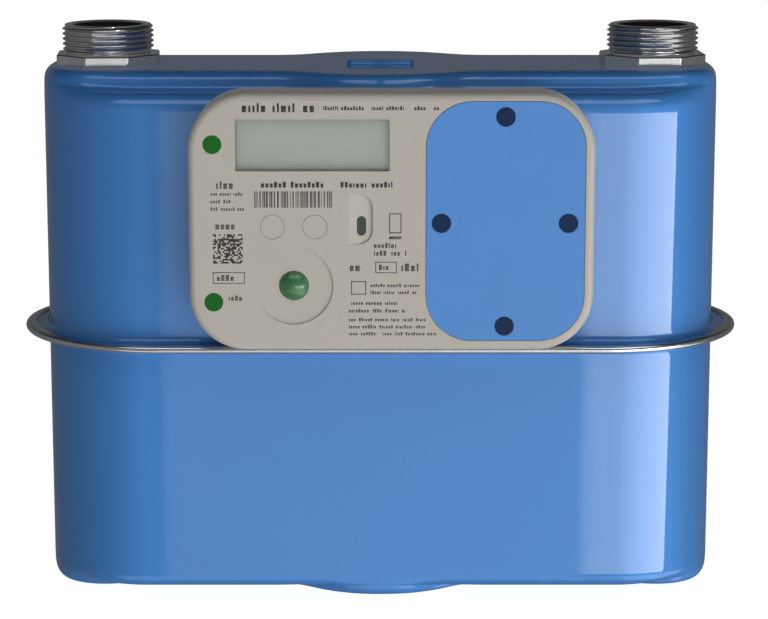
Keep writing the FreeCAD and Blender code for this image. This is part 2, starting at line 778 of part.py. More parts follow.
def lcd_holder():
    """An open frame on the main board that the panel sits in."""
    frame = box(grown(LCD_X, LCD_MARGIN), (HOLDER_FRONT_Y, BOARD_Y), grown(LCD_Z, LCD_MARGIN))
    pocket_y = (LCD_Y[0] - CUT, LCD_Y[1])
    pocket = box(grown(LCD_X, LCD_CLEARANCE), pocket_y, grown(LCD_Z, LCD_CLEARANCE))
    hollow_y = grown((LCD_Y[1], BOARD_Y), CUT)
    return frame.cut(pocket).cut(box(grown(LCD_X, -LCD_MARGIN), hollow_y, grown(LCD_Z, -LCD_MARGIN)))


def cell(x):
    top = CELL_BASE_Z + CELL_LENGTH
    can = rod_z(x, CELL_Y, (CELL_BASE_Z, top), CELL_R)
    return can.fuse(rod_z(x, CELL_Y, (top, top + CELL_TIP), CELL_TIP_R))


def battery_tray():
    """A cradle with one trough per cell, lying on the floor of the housing."""
    y = (CELL_Y + TRAY_LIP, HOUSING_BACK_Y - INDEX_WALL)
    trough_z = grown((CELL_BASE_Z, CELL_BASE_Z + CELL_LENGTH + CELL_TIP), CELL_CLEARANCE)
    tray = rounded_front(TRAY_X, TRAY_Z, TRAY_CORNER_R, y)
    for x in CELL_SPOTS:
        tray = tray.cut(rod_z(x, CELL_Y, trough_z, CELL_R + CELL_CLEARANCE / 2))
    return tray


def chamber(half_x, z, r, y):
    return rounded_front((-half_x, half_x), z, r, y)


def measuring_body():
    """The moulded frame with a chamber pocket on each side of its middle wall and two flag rod bores."""
    body = chamber(BODY_HALF_X, BODY_Z, BODY_CORNER_R, (-BODY_HALF_Y, BODY_HALF_Y))
    pocket_y = (-BODY_HALF_Y - CUT, -PARTITION / 2)
    pocket = chamber(CHAMBER_HALF_X, CHAMBER_Z, CHAMBER_CORNER_R, pocket_y)
    bore_z = (BODY_Z[0] + FLAG_SOCKET_FLOOR, BODY_Z[1] + CUT)
    bore = rod_z(-FLAG_X, -FLAG_Y, bore_z, FLAG_ROD_R + RUNNING)
    for hole in (pocket, half_turn(pocket), bore, half_turn(bore)):
        body = body.cut(hole)
    return body


def chamber_cover():
    """The front pan that closes a chamber over its diaphragm."""
    y = (-PAN_Y, -BODY_HALF_Y - DIAPHRAGM_SHEET)
    pan = chamber(BODY_HALF_X, BODY_Z, BODY_CORNER_R, y)
    return pan.cut(chamber(CHAMBER_HALF_X, CHAMBER_Z, CHAMBER_CORNER_R, (y[0] + PAN_SHEET, y[1] + CUT)))


def diaphragm():
    y = (-BODY_HALF_Y - DIAPHRAGM_SHEET, -BODY_HALF_Y)
    half_x, low, high, r = DIAPHRAGM_OPENING
    edge_z = grown(BODY_Z, -DIAPHRAGM_INSET)
    sheet = chamber(BODY_HALF_X - DIAPHRAGM_INSET, edge_z, BODY_CORNER_R - DIAPHRAGM_INSET, y)
    return sheet.cut(chamber(half_x, (low, high), r, grown(y, CUT)))


def diaphragm_plates():
    """Two stiff plates riveted together through the middle of the diaphragm, with the hinge ears."""
    inner_y = (-BODY_HALF_Y, -BODY_HALF_Y + PLATE_SHEET)
    outer_back = -BODY_HALF_Y - DIAPHRAGM_SHEET
    outer_y = (outer_back - PLATE_SHEET, outer_back)
    pieces = [chamber(PLATE_HALF_X, PLATE_Z, PLATE_CORNER_R, outer_y)]
    pieces += [rod_y(x, z, (outer_y[0], inner_y[1]), RIVET_R) for x in RIVET_X for z in RIVET_Z]
    for z in (MID_Z - HINGE_HALF - EAR_HEIGHT, MID_Z + HINGE_HALF):
        ear_z = (z, z + EAR_HEIGHT)
        pieces.append(box((-EAR_R, EAR_R), (inner_y[1] - MERGE, -FLAG_Y), ear_z))
        pieces.append(rod_z(0, -FLAG_Y, ear_z, EAR_R))
    pieces.append(rod_z(0, -FLAG_Y, grown((MID_Z, MID_Z), HINGE_HALF + EAR_HEIGHT), HINGE_PIN_R))
    return chamber(PLATE_HALF_X, PLATE_Z, PLATE_CORNER_R, inner_y).fuse(pieces)


def flag_rod():
    """The upright rod and the wing that swings with it, hinged to the plates at its far edge."""
    foot = BODY_Z[0] + FLAG_SOCKET_FLOOR + FLAG_END_GAP
    wing_z = grown((MID_Z, MID_Z), WING_HALF)
    rod = rod_z(-FLAG_X, -FLAG_Y, (foot, ARM_Z["front"]), FLAG_ROD_R)
    wing = box((-FLAG_X, WING_END_X), grown((-FLAG_Y, -FLAG_Y), WING_SHEET / 2), wing_z)
    barrel = rod_z(0, -FLAG_Y, wing_z, BARREL_R)
    bore = rod_z(0, -FLAG_Y, grown(wing_z, CUT), HINGE_PIN_R + RUNNING)
    return rod.fuse(wing).fuse(barrel).cut(bore)


def rear_flag_rod():
    rod = half_turn(flag_rod())
    return rod.fuse(rod_z(FLAG_X, FLAG_Y, (ARM_Z["front"], ARM_Z["rear"]), FLAG_ROD_R))


def arm_end(side):
    """The plan position of the pivot at the free end of a flag arm."""
    turn = math.radians(FLAG_ARM_ANGLES[side])
    x = SIDES[side] * FLAG_X + FLAG_ARM * math.cos(turn)
    return x, SIDES[side] * FLAG_Y + FLAG_ARM * math.sin(turn)


def bar(start, end, half_width, z):
    """A flat bar with round ends between two plan points."""
    x, y = end[0] - start[0], end[1] - start[1]
    span = (-half_width, math.hypot(x, y) + half_width)
    solid = rounded_plan(span, (-half_width, half_width), half_width - ROUND_TRIM, z)
    solid.rotate(ORIGIN, Z_AXIS, math.degrees(math.atan2(y, x)))
    solid.translate(Vector(start[0], start[1], 0))
    return solid


def flag_arm(side):
    """The arm on top of a flag rod, with the pin that its link turns on."""
    x, y = arm_end(side)
    top = ARM_Z[side] + ARM_SHEET
    root = (SIDES[side] * FLAG_X, SIDES[side] * FLAG_Y)
    arm = bar(root, (x, y), ARM_HALF_WIDTH, (ARM_Z[side], top))
    return arm.fuse(rod_z(x, y, (top, top + LINK_GAP + LINK_SHEET + PIN_PROUD), PIN_R))


def link(side):
    """The bar from a flag arm to its eye above the crank pin's path."""
    x, y = arm_end(side)
    bottom = ARM_Z[side] + ARM_SHEET + LINK_GAP
    z = (bottom, bottom + LINK_SHEET)
    shrink = CRANK_THROW / math.hypot(x, y)
    eye = (-y * shrink, x * shrink)
    strip = bar((x, y), eye, LINK_HALF_WIDTH, z)
    for hole_x, hole_y in ((x, y), eye):
        strip = strip.cut(rod_z(hole_x, hole_y, grown(z, CUT), PIN_R + RUNNING))
    return strip


def gear(teeth, bore_r):
    """A spur gear with straight-sided teeth and a little backlash; a gap faces +X."""
    pitch_r = GEAR_MODULE * teeth / 2
    root_r = pitch_r - GEAR_DEDENDUM * GEAR_MODULE
    tip_r = pitch_r + GEAR_ADDENDUM * GEAR_MODULE
    flanks = [(root_r, -TOOTH_ROOT_SHARE), (tip_r, -TOOTH_TIP_SHARE),
              (tip_r, TOOTH_TIP_SHARE), (root_r, TOOTH_ROOT_SHARE)]
    corners = []
    for tooth in range(teeth):
        for r, share in flanks:
            turn = (tooth + 1 / 2 + share) * 2 * math.pi / teeth
            corners.append(Vector(r * math.cos(turn), r * math.sin(turn), 0))
    blank = extrude_z(Part.makePolygon(corners + corners[:1]), GEAR_Z)
    return blank.cut(rod_z(0, 0, grown(GEAR_Z, CUT), bore_r))


def magnet_y():
    return -GEAR_MODULE * (CRANK_TEETH + MAGNET_TEETH) / 2


def crank_gear():
    return gear(CRANK_TEETH, CRANK_R)


def magnet_gear():
    """Meshes with the crank gear, so a tooth faces the crank gear's gap."""
    bore_r = MAGNET_PIN_R + RUNNING
    wheel = gear(MAGNET_TEETH, bore_r)
    wheel = wheel.fuse(tube(0, 0, (GEAR_Z[1], GEAR_Z[1] + MAGNET_HUB), MAGNET_R, bore_r))
    wheel.rotate(ORIGIN, Z_AXIS, 180 / MAGNET_TEETH)
    wheel.translate(Vector(0, magnet_y(), 0))
    return wheel


def magnet_z():
    return GEAR_Z[1] + MAGNET_HUB, GEAR_Z[1] + MAGNET_HUB + MAGNET_HEIGHT


def coupling_magnet():
    return tube(0, magnet_y(), magnet_z(), MAGNET_R, MAGNET_PIN_R + RUNNING)


def gear_bracket():
    """A plate screwed under the gears that carries the magnet gear's pin."""
    plate = bar((0, BRACKET_FOOT_Y[1]), (0, magnet_y()), BRACKET_HALF_WIDTH, SEAT_Z)
    plate = plate.cut(rod_z(0, 0, grown(SEAT_Z, CUT), SEAT_R + BRACKET_GAP))
    return plate.fuse(rod_z(0, magnet_y(), (SEAT_Z[1], magnet_z()[1] + PIN_PROUD), MAGNET_PIN_R))


def gas_port(z):
    return rounded_plan(GAS_PORT_X, GAS_PORT_Y, GAS_PORT_R, z)


def distributor_plate():
    """The channel plate on the measuring body, with gas ports to each chamber and the crank bearing."""
    span_x, span_y = (-BODY_HALF_X, BODY_HALF_X), (-BODY_HALF_Y, BODY_HALF_Y)
    plate = rounded_plan(span_x, span_y, DISTRIBUTOR_CORNER_R, DISTRIBUTOR_Z)
    plate = plate.fuse(rounded_plan(BRACKET_FOOT_X, BRACKET_FOOT_Y, BRACKET_FOOT_R, DISTRIBUTOR_Z))
    bore = rod_z(-FLAG_X, -FLAG_Y, grown(DISTRIBUTOR_Z, CUT), FLAG_ROD_R + RUNNING)
    port = gas_port((DISTRIBUTOR_Z[0] + CHANNEL_FLOOR, DISTRIBUTOR_Z[1] + CUT))
    for hole in (bore, half_turn(bore), port, half_turn(port)):
        plate = plate.cut(hole)
    return plate.cut(rod_z(0, 0, grown(DISTRIBUTOR_Z, CUT), BUSH_R))


def valve_seat():
    seat = tube(0, 0, SEAT_Z, SEAT_R, BUSH_R)
    for turn in GAS_PORT_TURNS:
        port = gas_port(grown(SEAT_Z, CUT))
        port.rotate(ORIGIN, Z_AXIS, turn)
        seat = seat.cut(port)
    return seat


def crank_bush():
    return tube(0, 0, (DISTRIBUTOR_Z[0] + BUSH_RECESS, SEAT_Z[1]), BUSH_R, CRANK_R + RUNNING)


def rotary_valve():
    """A round slide with a kidney pocket below that joins two ports at a time."""
    pocket_z = (VALVE_Z[0] - CUT, VALVE_Z[1] - VALVE_ROOF)
    pocket = tube(0, 0, pocket_z, VALVE_POCKET_R, VALVE_HUB_R)
    span = (-VALVE_R, VALVE_R)
    pocket = pocket.cut(box(span, (-VALVE_R, VALVE_POCKET_EDGE_Y), grown(VALVE_Z, 2 * CUT)))
    return tube(0, 0, VALVE_Z, VALVE_R, CRANK_R).cut(pocket)


def crank():
    """The crank shaft with its throw disc and pin."""
    disc_top = GEAR_Z[1] + THROW_DISC
    shaft = rod_z(0, 0, (DISTRIBUTOR_Z[0] + CRANK_RECESS, GEAR_Z[1]), CRANK_R)
    disc = rod_z(0, 0, (GEAR_Z[1], disc_top), THROW_DISC_R)
    return shaft.fuse(disc).fuse(rod_z(0, CRANK_THROW, (disc_top, CRANK_PIN_Z), PIN_R))


def duct_solid(inset, z):
    """The channel and its round end, filled."""
    channel = rounded_plan(grown(CHANNEL_X, -inset), grown(CHANNEL_Y, -inset), CHANNEL_CORNER_R - inset, z)
    end = rounded_plan(grown(DUCT_END_X, -inset), grown(DUCT_END_Y, -inset), DUCT_END_CORNER_R - inset, z)
    return channel.fuse(end)


def outlet_duct():
    """The covered channel from the distributor to the socket under the outlet tube."""
    z = (DISTRIBUTOR_Z[1], DUCT_TOP_Z)
    duct = duct_solid(0, z).fuse(rod_z(NIPPLE_X, 0, (DUCT_TOP_Z, DUCT_SOCKET_Z), TUBE_R + DUCT_WALL))
    inside = duct_solid(DUCT_WALL, grown(z, -DUCT_WALL))
    throat_z = (DUCT_TOP_Z - DUCT_WALL - CUT, TUBE_Z[0])
    inside = inside.fuse(rod_z(NIPPLE_X, 0, throat_z, THROAT_R))
    inside = inside.fuse(rod_z(NIPPLE_X, 0, (TUBE_Z[0], DUCT_SOCKET_Z + CUT), TUBE_R + SLIP))
    return duct.cut(inside)


def valve_body():
    """The shut-off valve's throat under the inlet, cross-bored for the flap's shaft."""
    throat = tube(-NIPPLE_X, 0, VALVE_BODY_Z, TUBE_R, THROAT_R)
    return throat.cut(rod_y(-NIPPLE_X, FLAP_Z, grown((-TUBE_R, TUBE_R), CUT), FLAP_SHAFT_R + RUNNING))


def valve_flap():
    """A round flap on its cross shaft, edge-on to the gas when it is open."""
    disc = Part.makeCylinder(FLAP_R, FLAP_SHEET, Vector(-NIPPLE_X - FLAP_SHEET / 2, 0, FLAP_Z), X_AXIS)
    return disc.fuse(rod_y(-NIPPLE_X, FLAP_Z, FLAP_SHAFT_Y, FLAP_SHAFT_R))


def valve_motor():
    """The geared motor that turns the flap's shaft, with the foot that holds it to the throat."""
    can = rod_y(-NIPPLE_X, FLAP_Z, MOTOR_Y, MOTOR_R)
    foot = box(grown((-NIPPLE_X, -NIPPLE_X), MOTOR_FOOT_HALF), MOTOR_FOOT_Y, MOTOR_FOOT_Z)
    can = can.fuse(foot.cut(rod_z(-NIPPLE_X, 0, VALVE_BODY_Z, TUBE_R)))
    socket = (MOTOR_Y[0] - CUT, MOTOR_Y[0] + MOTOR_SOCKET)
    return can.cut(rod_y(-NIPPLE_X, FLAP_Z, socket, FLAP_SHAFT_R + RUNNING))


def save_case():
    save("upper_case", upper_case())
    save("lower_case", lower_case())
    save("seam_band", seam_band())
    save("case_gasket", case_gasket())
    save("inlet_nipple", nipple(-NIPPLE_X))
    save("outlet_nipple", nipple(NIPPLE_X))


def save_index():
    save("index_mounting_plate", mounting_plate())
    save("index_rear_housing", rear_housing())
    save("index_gasket", index_gasket())
    save("index_front_cover", front_cover().cut(cover_pocket()))
    save("display_window", window_pane(0))
    save("lcd_panel", lcd_panel())
    save("lcd_holder", lcd_holder())
    save("main_board", main_board())
    save("modem_board", modem_board())
    save("board_header", board_header())
    save("antenna", antenna())
    save("pulse_sensor", pulse_sensor())
    save("tact_switches", tact_switches())
    save("status_lens", port_piece(True))
    save("infrared_window", port_piece(False))
    for name, (x, z) in BUTTON_SPOTS.items():
        save(name, push_button(x, z))
    save("wake_button", wake_button())
    save("seal_plugs", Part.makeCompound([seal_plug(x, z) for x, z in SEAL_PLUG_SPOTS]))
    save("index_screws", Part.makeCompound([index_screw(x, z) for x, z in SEAL_PLUG_SPOTS]))
    save("battery_cover", battery_cover())
    save("battery_cover_seal", battery_cover_seal())
    save("battery_cover_screws", Part.makeCompound([cover_screw(x, z) for x, z in COVER_SCREWS]))
    save("battery_tray", battery_tray())
    save("metrology_battery", cell(CELL_SPOTS[0]))
    save("modem_batteries", Part.makeCompound([cell(x) for x in CELL_SPOTS[1:]]))


def save_measuring_unit():
    save("measuring_body", measuring_body())
    save("front_chamber_cover", chamber_cover())
    save("rear_chamber_cover", half_turn(chamber_cover()))
    save("front_diaphragm", diaphragm())
    save("rear_diaphragm", half_turn(diaphragm()))
    save("front_diaphragm_plates", diaphragm_plates())
    save("rear_diaphragm_plates", half_turn(diaphragm_plates()))
    save("front_flag_rod", flag_rod())
    save("rear_flag_rod", rear_flag_rod())
    for side in ("front", "rear"):
        save(side + "_flag_arm", flag_arm(side))
        save(side + "_link", link(side))
    save("distributor_plate", distributor_plate())
    save("valve_seat", valve_seat())
    save("crank_bush", crank_bush())
    save("rotary_valve", rotary_valve())
    save("crank", crank())
    save("crank_gear", crank_gear())
    save("magnet_gear", magnet_gear())
    save("coupling_magnet", coupling_magnet())
    save("gear_bracket", gear_bracket())


def save_gas_path():
    save("outlet_duct", outlet_duct())
    save("outlet_tube", tube(NIPPLE_X, 0, TUBE_Z, TUBE_R, THROAT_R))
    save("outlet_seal", tube(NIPPLE_X, 0, (TUBE_Z[1], SPIGOT_Z), TUBE_R, THROAT_R))
    save("shutoff_body", valve_body())
    save("shutoff_flap", valve_flap())
    save("shutoff_motor", valve_motor())


save_case()
save_index()
save_measuring_unit()
save_gas_path()
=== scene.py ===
import json
import math
import random

import bmesh
import bpy
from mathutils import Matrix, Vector


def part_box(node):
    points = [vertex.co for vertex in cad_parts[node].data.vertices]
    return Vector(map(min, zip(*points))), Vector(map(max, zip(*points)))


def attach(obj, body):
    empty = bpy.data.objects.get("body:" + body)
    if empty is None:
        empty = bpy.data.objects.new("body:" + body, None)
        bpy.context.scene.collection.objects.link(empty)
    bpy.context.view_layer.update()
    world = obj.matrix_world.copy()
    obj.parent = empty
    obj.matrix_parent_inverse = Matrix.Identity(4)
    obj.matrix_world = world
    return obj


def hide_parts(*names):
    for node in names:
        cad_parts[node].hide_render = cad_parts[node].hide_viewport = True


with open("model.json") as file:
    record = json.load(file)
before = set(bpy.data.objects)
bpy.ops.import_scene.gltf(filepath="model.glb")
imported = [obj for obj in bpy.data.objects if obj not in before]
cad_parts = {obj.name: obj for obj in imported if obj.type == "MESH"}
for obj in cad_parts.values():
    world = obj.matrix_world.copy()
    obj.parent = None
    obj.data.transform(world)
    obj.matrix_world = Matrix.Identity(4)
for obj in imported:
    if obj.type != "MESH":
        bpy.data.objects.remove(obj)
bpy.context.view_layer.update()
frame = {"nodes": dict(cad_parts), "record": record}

MM = 0.001

# Steel case, in millimetres
CASE_HALF_WIDTH = 154.3
CASE_HALF_DEPTH = 56.0
CORNER_R = 46.0
END_R = 90.0
PLATEAU_HALF_DEPTH = 40.3
PLATEAU_CORNER_R = 28.0
BOSS_R = 55.7
BOSS_BLEND_R = 35.0
FULL_GAP = CASE_HALF_DEPTH - PLATEAU_HALF_DEPTH
END_GAP = -1.2
GAP_EASING = 1.2
END_ROUND_R = 5.6
RIM_INSET = 1.5
FLANGE_STRAIGHT = 98.5
FLANGE_R = 66.4
FLANGE_FILLET = 3.0
SHEET = 1.0
HOLE_EDGE = 0.8

# Where rows of points sit, as shares of the wall's height and of the flange's width
WALL_SHARES = (0.015, 0.2, 0.4, 0.6, 0.8, 0.985, 1.0)
FLANGE_SHARES = (0.25, 0.6, 1.0)

# The rim of each raised panel, as (inward from the wall, away from the panel's face)
UPPER_EDGE = [(24.5, 0.0), (22.6, 0.12), (20.6, 0.42), (18.8, 0.9), (17.3, 1.6), (16.4, 2.4), (15.9, 3.2),
              (15.72, 4.0), (15.7, 6.2), (15.3, 7.0), (14.4, 7.6), (13.0, 7.9)]
LOWER_EDGE = [(29.6, 0.0), (24.4, 0.28), (21.4, 0.74), (19.2, 1.29), (17.7, 1.83), (16.7, 2.38), (16.0, 2.96),
              (15.7, 3.49), (15.6, 3.9), (15.1, 4.2), (14.2, 4.4), (12.6, 4.5)]
RIM_FOOT = 11.4

# The ledge beside each rim, as (its drop, its width, the drop where the plain wall starts)
UPPER_LEDGE = (8.2, 7.0, 15.0)
LOWER_LEDGE = (4.6, 6.0, 10.5)

# Raised pad at the middle of the top, with its section as (outward, up)
PAD_HALF_WIDTH = 15.2
PAD_HALF_DEPTH = 9.2
PAD_CORNER_R = 2.6
PAD_SECTION = ((1.2, -0.3), (0.5, 0.1), (0.0, 0.6), (0.0, 1.3), (-0.2, 1.7), (-0.7, 1.95), (-1.4, 2.0))

# Folded seam band
BAND_R = 67.0
BAND_LIP = 5.0
BAND_FLAT = 3.6
BAND_HALF = 1.7
BAND_EASE = 0.4
BAND_EDGE = 0.12
BAND_SHEET = 0.5
BAND_ROOM = 1.6
BAND_ROOM_END = (-0.8, 0.7)

# Nipples
NIPPLE_BORE_R = 16.2
NIPPLE_TOP = 17.9
BORE_EDGE = 0.6
SPIGOT_R = 18.0
THREAD_R = 20.95
THREAD_PITCH = 2.309
THREAD_DEPTH = 1.479
THREAD_FLAT = 0.08
THREAD_CHAMFER = 1.5
CHAMFER_SLOPE = 1.1
RUNOUT_START = 0.5
RUNOUT = 1.6
THREAD_STARTS = {"inlet_nipple": 0.2, "outlet_nipple": 0.55}
COLLAR_SIDES = 8
COLLAR_FLATS = 46.5
COLLAR_CORNER = 1.8
COLLAR_HEIGHT = 4.7
COLLAR_TURN = math.radians(3.0)
COLLAR_BEVEL = 0.5
COLLAR_SINK = 0.2
COLLAR_FOOT = 1.0
COLLAR_HOLE_R = 19.0
WELD_DISTANCE = 0.002
BORE_MARGIN = 0.01
FACET_DEGREES = 9

# Steps along each curve
END_STEPS = 12
CORNER_STEPS = 72
SIDE_STEPS = 90
WALL_STEPS = 12
FILLET_STEPS = 8
HOLE_STEPS = 48
PAD_STEPS = 8
FOLD_STEPS = 12
BAND_STEPS = 96
THREAD_STEPS = 96
THREAD_ROWS = 12
COLLAR_STEPS = 192
CARD_STEPS = 48

# Prints on the index, in millimetres from the print origin.
# A row is (left, right, middle, letter height) and a frame is (left, right, bottom, top, line).
PRINT_SEED = 7
PRINT_INSET = Vector((0.8, 0.0, 1.6))
INK_HEIGHT = 0.04
INK_ROOT = 0.02
LETTER_PITCH = 0.78
LETTER_WIDTHS = (0.3, 0.62, 0.62, 0.7)
LETTER_HEIGHTS = (0.72, 0.72, 1.0)
LETTER_GAP = 0.3
WORD_GAPS = (0.7, 1.1)
TITLE_ROW = (23.0, 55.5, 105.6, 3.9)
SUBTITLE_ROWS = ((58.0, 76.5, 105.4, 1.7), (79.0, 95.0, 105.4, 1.7), (97.5, 104.0, 105.4, 1.7),
                 (106.0, 109.5, 105.4, 1.7))
HEADING_ROW = (31.0, 60.5, 72.0, 2.5)
HEADING_END_ROW = (65.5, 92.0, 72.0, 2.5)
COLUMN_ROWS = ((11.5, 20.5, 71.8, 3.4), (9.0, 23.5, 67.9, 1.5), (9.0, 19.0, 64.6, 1.5),
               (9.0, 24.0, 61.3, 1.5), (11.0, 22.5, 53.8, 3.0), (16.5, 24.5, 21.8, 2.3))
COLUMN_FRAME = (9.6, 23.6, 28.2, 33.4, 0.35)
COLUMN_FRAMED_ROW = (11.4, 22.4, 30.8, 2.6)
DATA_ROWS = ((80.0, 92.0, 45.2, 2.2), (80.0, 96.0, 41.8, 2.2), (78.5, 101.0, 27.5, 1.5),
             (78.5, 100.0, 24.4, 1.5), (70.0, 92.0, 19.6, 1.6), (69.0, 95.0, 16.2, 1.6),
             (69.0, 104.0, 12.2, 1.5), (69.0, 103.0, 9.0, 1.5), (69.0, 82.0, 5.9, 1.5),
             (84.0, 108.0, 5.9, 1.5))
DATA_FRAMES = ((80.6, 90.0, 33.0, 38.0, 0.35), (70.0, 76.6, 23.4, 29.4, 0.4),
               (86.6, 92.0, 50.6, 59.4, 0.45))
DATA_FRAMED_ROW = (82.2, 89.2, 35.5, 2.4)
DATA_RIGHT_ROW = (92.0, 102.0, 35.5, 3.4)
DATA_LEFT_ROW = (69.5, 78.0, 35.5, 3.4)
DATA_BAR = (86.6, 92.0, 48.0, 49.2)
BARS_LEFT, BARS_RIGHT, BARS_BOTTOM, BARS_TOP = 28.0, 61.5, 61.9, 69.1
BAR_WIDTHS = (0.28, 0.28, 0.55, 0.82)
BAR_GAPS = (0.3, 0.3, 0.58, 0.85)
MOSAIC_LEFT = 9.8
MOSAIC_BOTTOM = 37.2
MOSAIC_SIZE = 13.0
MOSAIC_CELLS = 19
MOSAIC_INK = 0.52

# Camera and studio, in metres
CAMERA_PLACE = (0.0017, -1.2586, 0.377)
CAMERA_TILT = math.radians(78.6)
CAMERA_LENS = 128.44
SENSOR_WIDTH = 36.0
CARD_CENTRE_Z = 0.15
FLOOR_Z = -0.0003
FLOOR_CORNERS = ((-9.0, -4.0), (9.0, -4.0), (9.0, 14.0), (-9.0, 14.0))


def centre(node):
    """The middle of a CAD node's box, in millimetres."""
    lo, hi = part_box(node)
    return (lo + hi) / 2 / MM


def low(node):
    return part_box(node)[0] / MM


def high(node):
    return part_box(node)[1] / MM


SEAM_Z = centre("seam_band").z
TOP_Z = high("inlet_nipple").z - NIPPLE_TOP
BASE_Z = low("lower_case").z
FACE_Y = low("index_front_cover").y
FLANGE_TOP = high("case_gasket").z + SHEET


def link_mesh(name, bm, material):
    """Turns a bmesh into an object of the scene."""
    mesh = bpy.data.meshes.new(name)
    bm.to_mesh(mesh)
    bm.free()
    mesh.materials.append(material)
    made = bpy.data.objects.new(name, mesh)
    bpy.context.scene.collection.objects.link(made)
    return made


def add_piece(name, bm, material, body="case", replaces=()):
    """Turns a bmesh in millimetres into a smooth piece that rides on a body."""
    bmesh.ops.scale(bm, vec=(MM, MM, MM), verts=bm.verts)
    piece = link_mesh(name, bm, material)
    for polygon in piece.data.polygons:
        polygon.use_smooth = True
    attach(piece, body)
    if replaces:
        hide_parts(*replaces)
    return piece


def circle(x, r, z, steps):
    """A level ring of points."""
    turns = [2 * math.pi * step / steps for step in range(steps)]
    return [Vector((x + r * math.cos(turn), r * math.sin(turn), z)) for turn in turns]


# ---------------------------------------------------------------- case outlines


def swell(x):
    """Half depth of the raised panel at a distance from the middle."""
    blend_y = PLATEAU_HALF_DEPTH + BOSS_BLEND_R
    blend_x = math.sqrt((BOSS_R + BOSS_BLEND_R) ** 2 - blend_y ** 2)
    boss_x = BOSS_R * blend_x / (BOSS_R + BOSS_BLEND_R)
    if x >= blend_x:
        return PLATEAU_HALF_DEPTH
    if x > boss_x:
        return blend_y - math.sqrt(BOSS_BLEND_R ** 2 - (x - blend_x) ** 2)
    return math.sqrt(BOSS_R ** 2 - x ** 2)


def leave_circle(px, py, dx, dy, cx, cy, r):
    """How far a ray from inside a circle travels before it leaves it."""
    wx, wy = px - cx, py - cy
    along = wx * dx + wy * dy
    return -along + math.sqrt(max(along ** 2 - wx ** 2 - wy ** 2 + r ** 2, 0.0))


def soft_gap(gap):
    """A gap that eases to nothing instead of stopping short."""
    return min((gap + math.sqrt(gap * gap + GAP_EASING)) / 2, FULL_GAP)


def flange_reach(x, y, nx, ny):
    """How far the flange reaches outwards from a point on the wall."""
    if ny > 0.9999 and x < FLANGE_STRAIGHT:
        return FLANGE_R - y
    return leave_circle(x, y, nx, ny, FLANGE_STRAIGHT, 0.0, FLANGE_R)


def corner_gap(angle, cx, cy):
    """Gap between the wall and the panel along a ray from the corner's centre."""
    ux, uy = math.cos(angle), math.sin(angle)
    straight = (PLATEAU_HALF_DEPTH - cy) / uy
    rx, ry = CASE_HALF_WIDTH - PLATEAU_CORNER_R, PLATEAU_HALF_DEPTH - PLATEAU_CORNER_R
    if cx + straight * ux < rx:
        return CORNER_R - straight
    return CORNER_R - leave_circle(cx, cy, ux, uy, rx, ry, PLATEAU_CORNER_R)


def quarter_stations():
    """Stations from the middle of one end to the middle of one side, with outward directions and gaps."""
    end_x = CASE_HALF_WIDTH - END_R
    corner_y = CASE_HALF_DEPTH - CORNER_R
    corner_x = end_x + math.sqrt((END_R - CORNER_R) ** 2 - corner_y ** 2)
    slant = math.atan2(corner_y, corner_x - end_x)
    stations = []
    for step in range(END_STEPS):
        angle = slant * step / END_STEPS
        ux, uy = math.cos(angle), math.sin(angle)
        stations.append((end_x + END_R * ux, END_R * uy, ux, uy, soft_gap(END_GAP)))
    for step in range(CORNER_STEPS):
        angle = slant + (math.pi / 2 - slant) * step / CORNER_STEPS
        ux, uy = math.cos(angle), math.sin(angle)
        gap = soft_gap(corner_gap(angle, corner_x, corner_y))
        stations.append((corner_x + CORNER_R * ux, corner_y + CORNER_R * uy, ux, uy, gap))
    for step in range(SIDE_STEPS):
        x = corner_x * (1 - step / (SIDE_STEPS - 1))
        stations.append((x, CASE_HALF_DEPTH, 0.0, 1.0, soft_gap(CASE_HALF_DEPTH - swell(x))))
    return stations


def case_stations():
    """The whole wall outline, anticlockwise."""
    quarter = [s + (flange_reach(*s[:4]),) for s in quarter_stations()]
    half = quarter + [(-x, y, -nx, ny, g, f) for x, y, nx, ny, g, f in reversed(quarter[:-1])]
    other = [(x, -y, nx, -ny, g, f) for x, y, nx, ny, g, f in reversed(half[1:-1])]
    return half + other


def end_profile(edge, ledge):
    """The profile where the panel meets the wall: one round edge, then plain wall."""
    r = END_ROUND_R
    points = [(r + RIM_INSET, 0.0)]
    for step in range(len(edge) - 1):
        angle = math.pi / 2 * step / (len(edge) - 2)
        points.append((r - r * math.sin(angle), r - r * math.cos(angle)))
    bottom = ledge[2]
    for step in range(1, WALL_STEPS + 1):
        points.append((0.0, r + (bottom - r) * step / WALL_STEPS))
    return points


def side_profile(edge, ledge):
    """The profile along a side: the panel's rim, the ledge below it and the wall's round shoulder."""
    top, width, bottom = ledge
    points = list(edge)
    points.append((RIM_FOOT, (edge[-1][1] + top) / 2))
    r = bottom - top
    for step in range(WALL_STEPS - 1):
        angle = math.pi / 2 * step / (WALL_STEPS - 2)
        points.append((width * (1 - math.sin(angle)), top + r * (1 - math.cos(angle))))
    return points


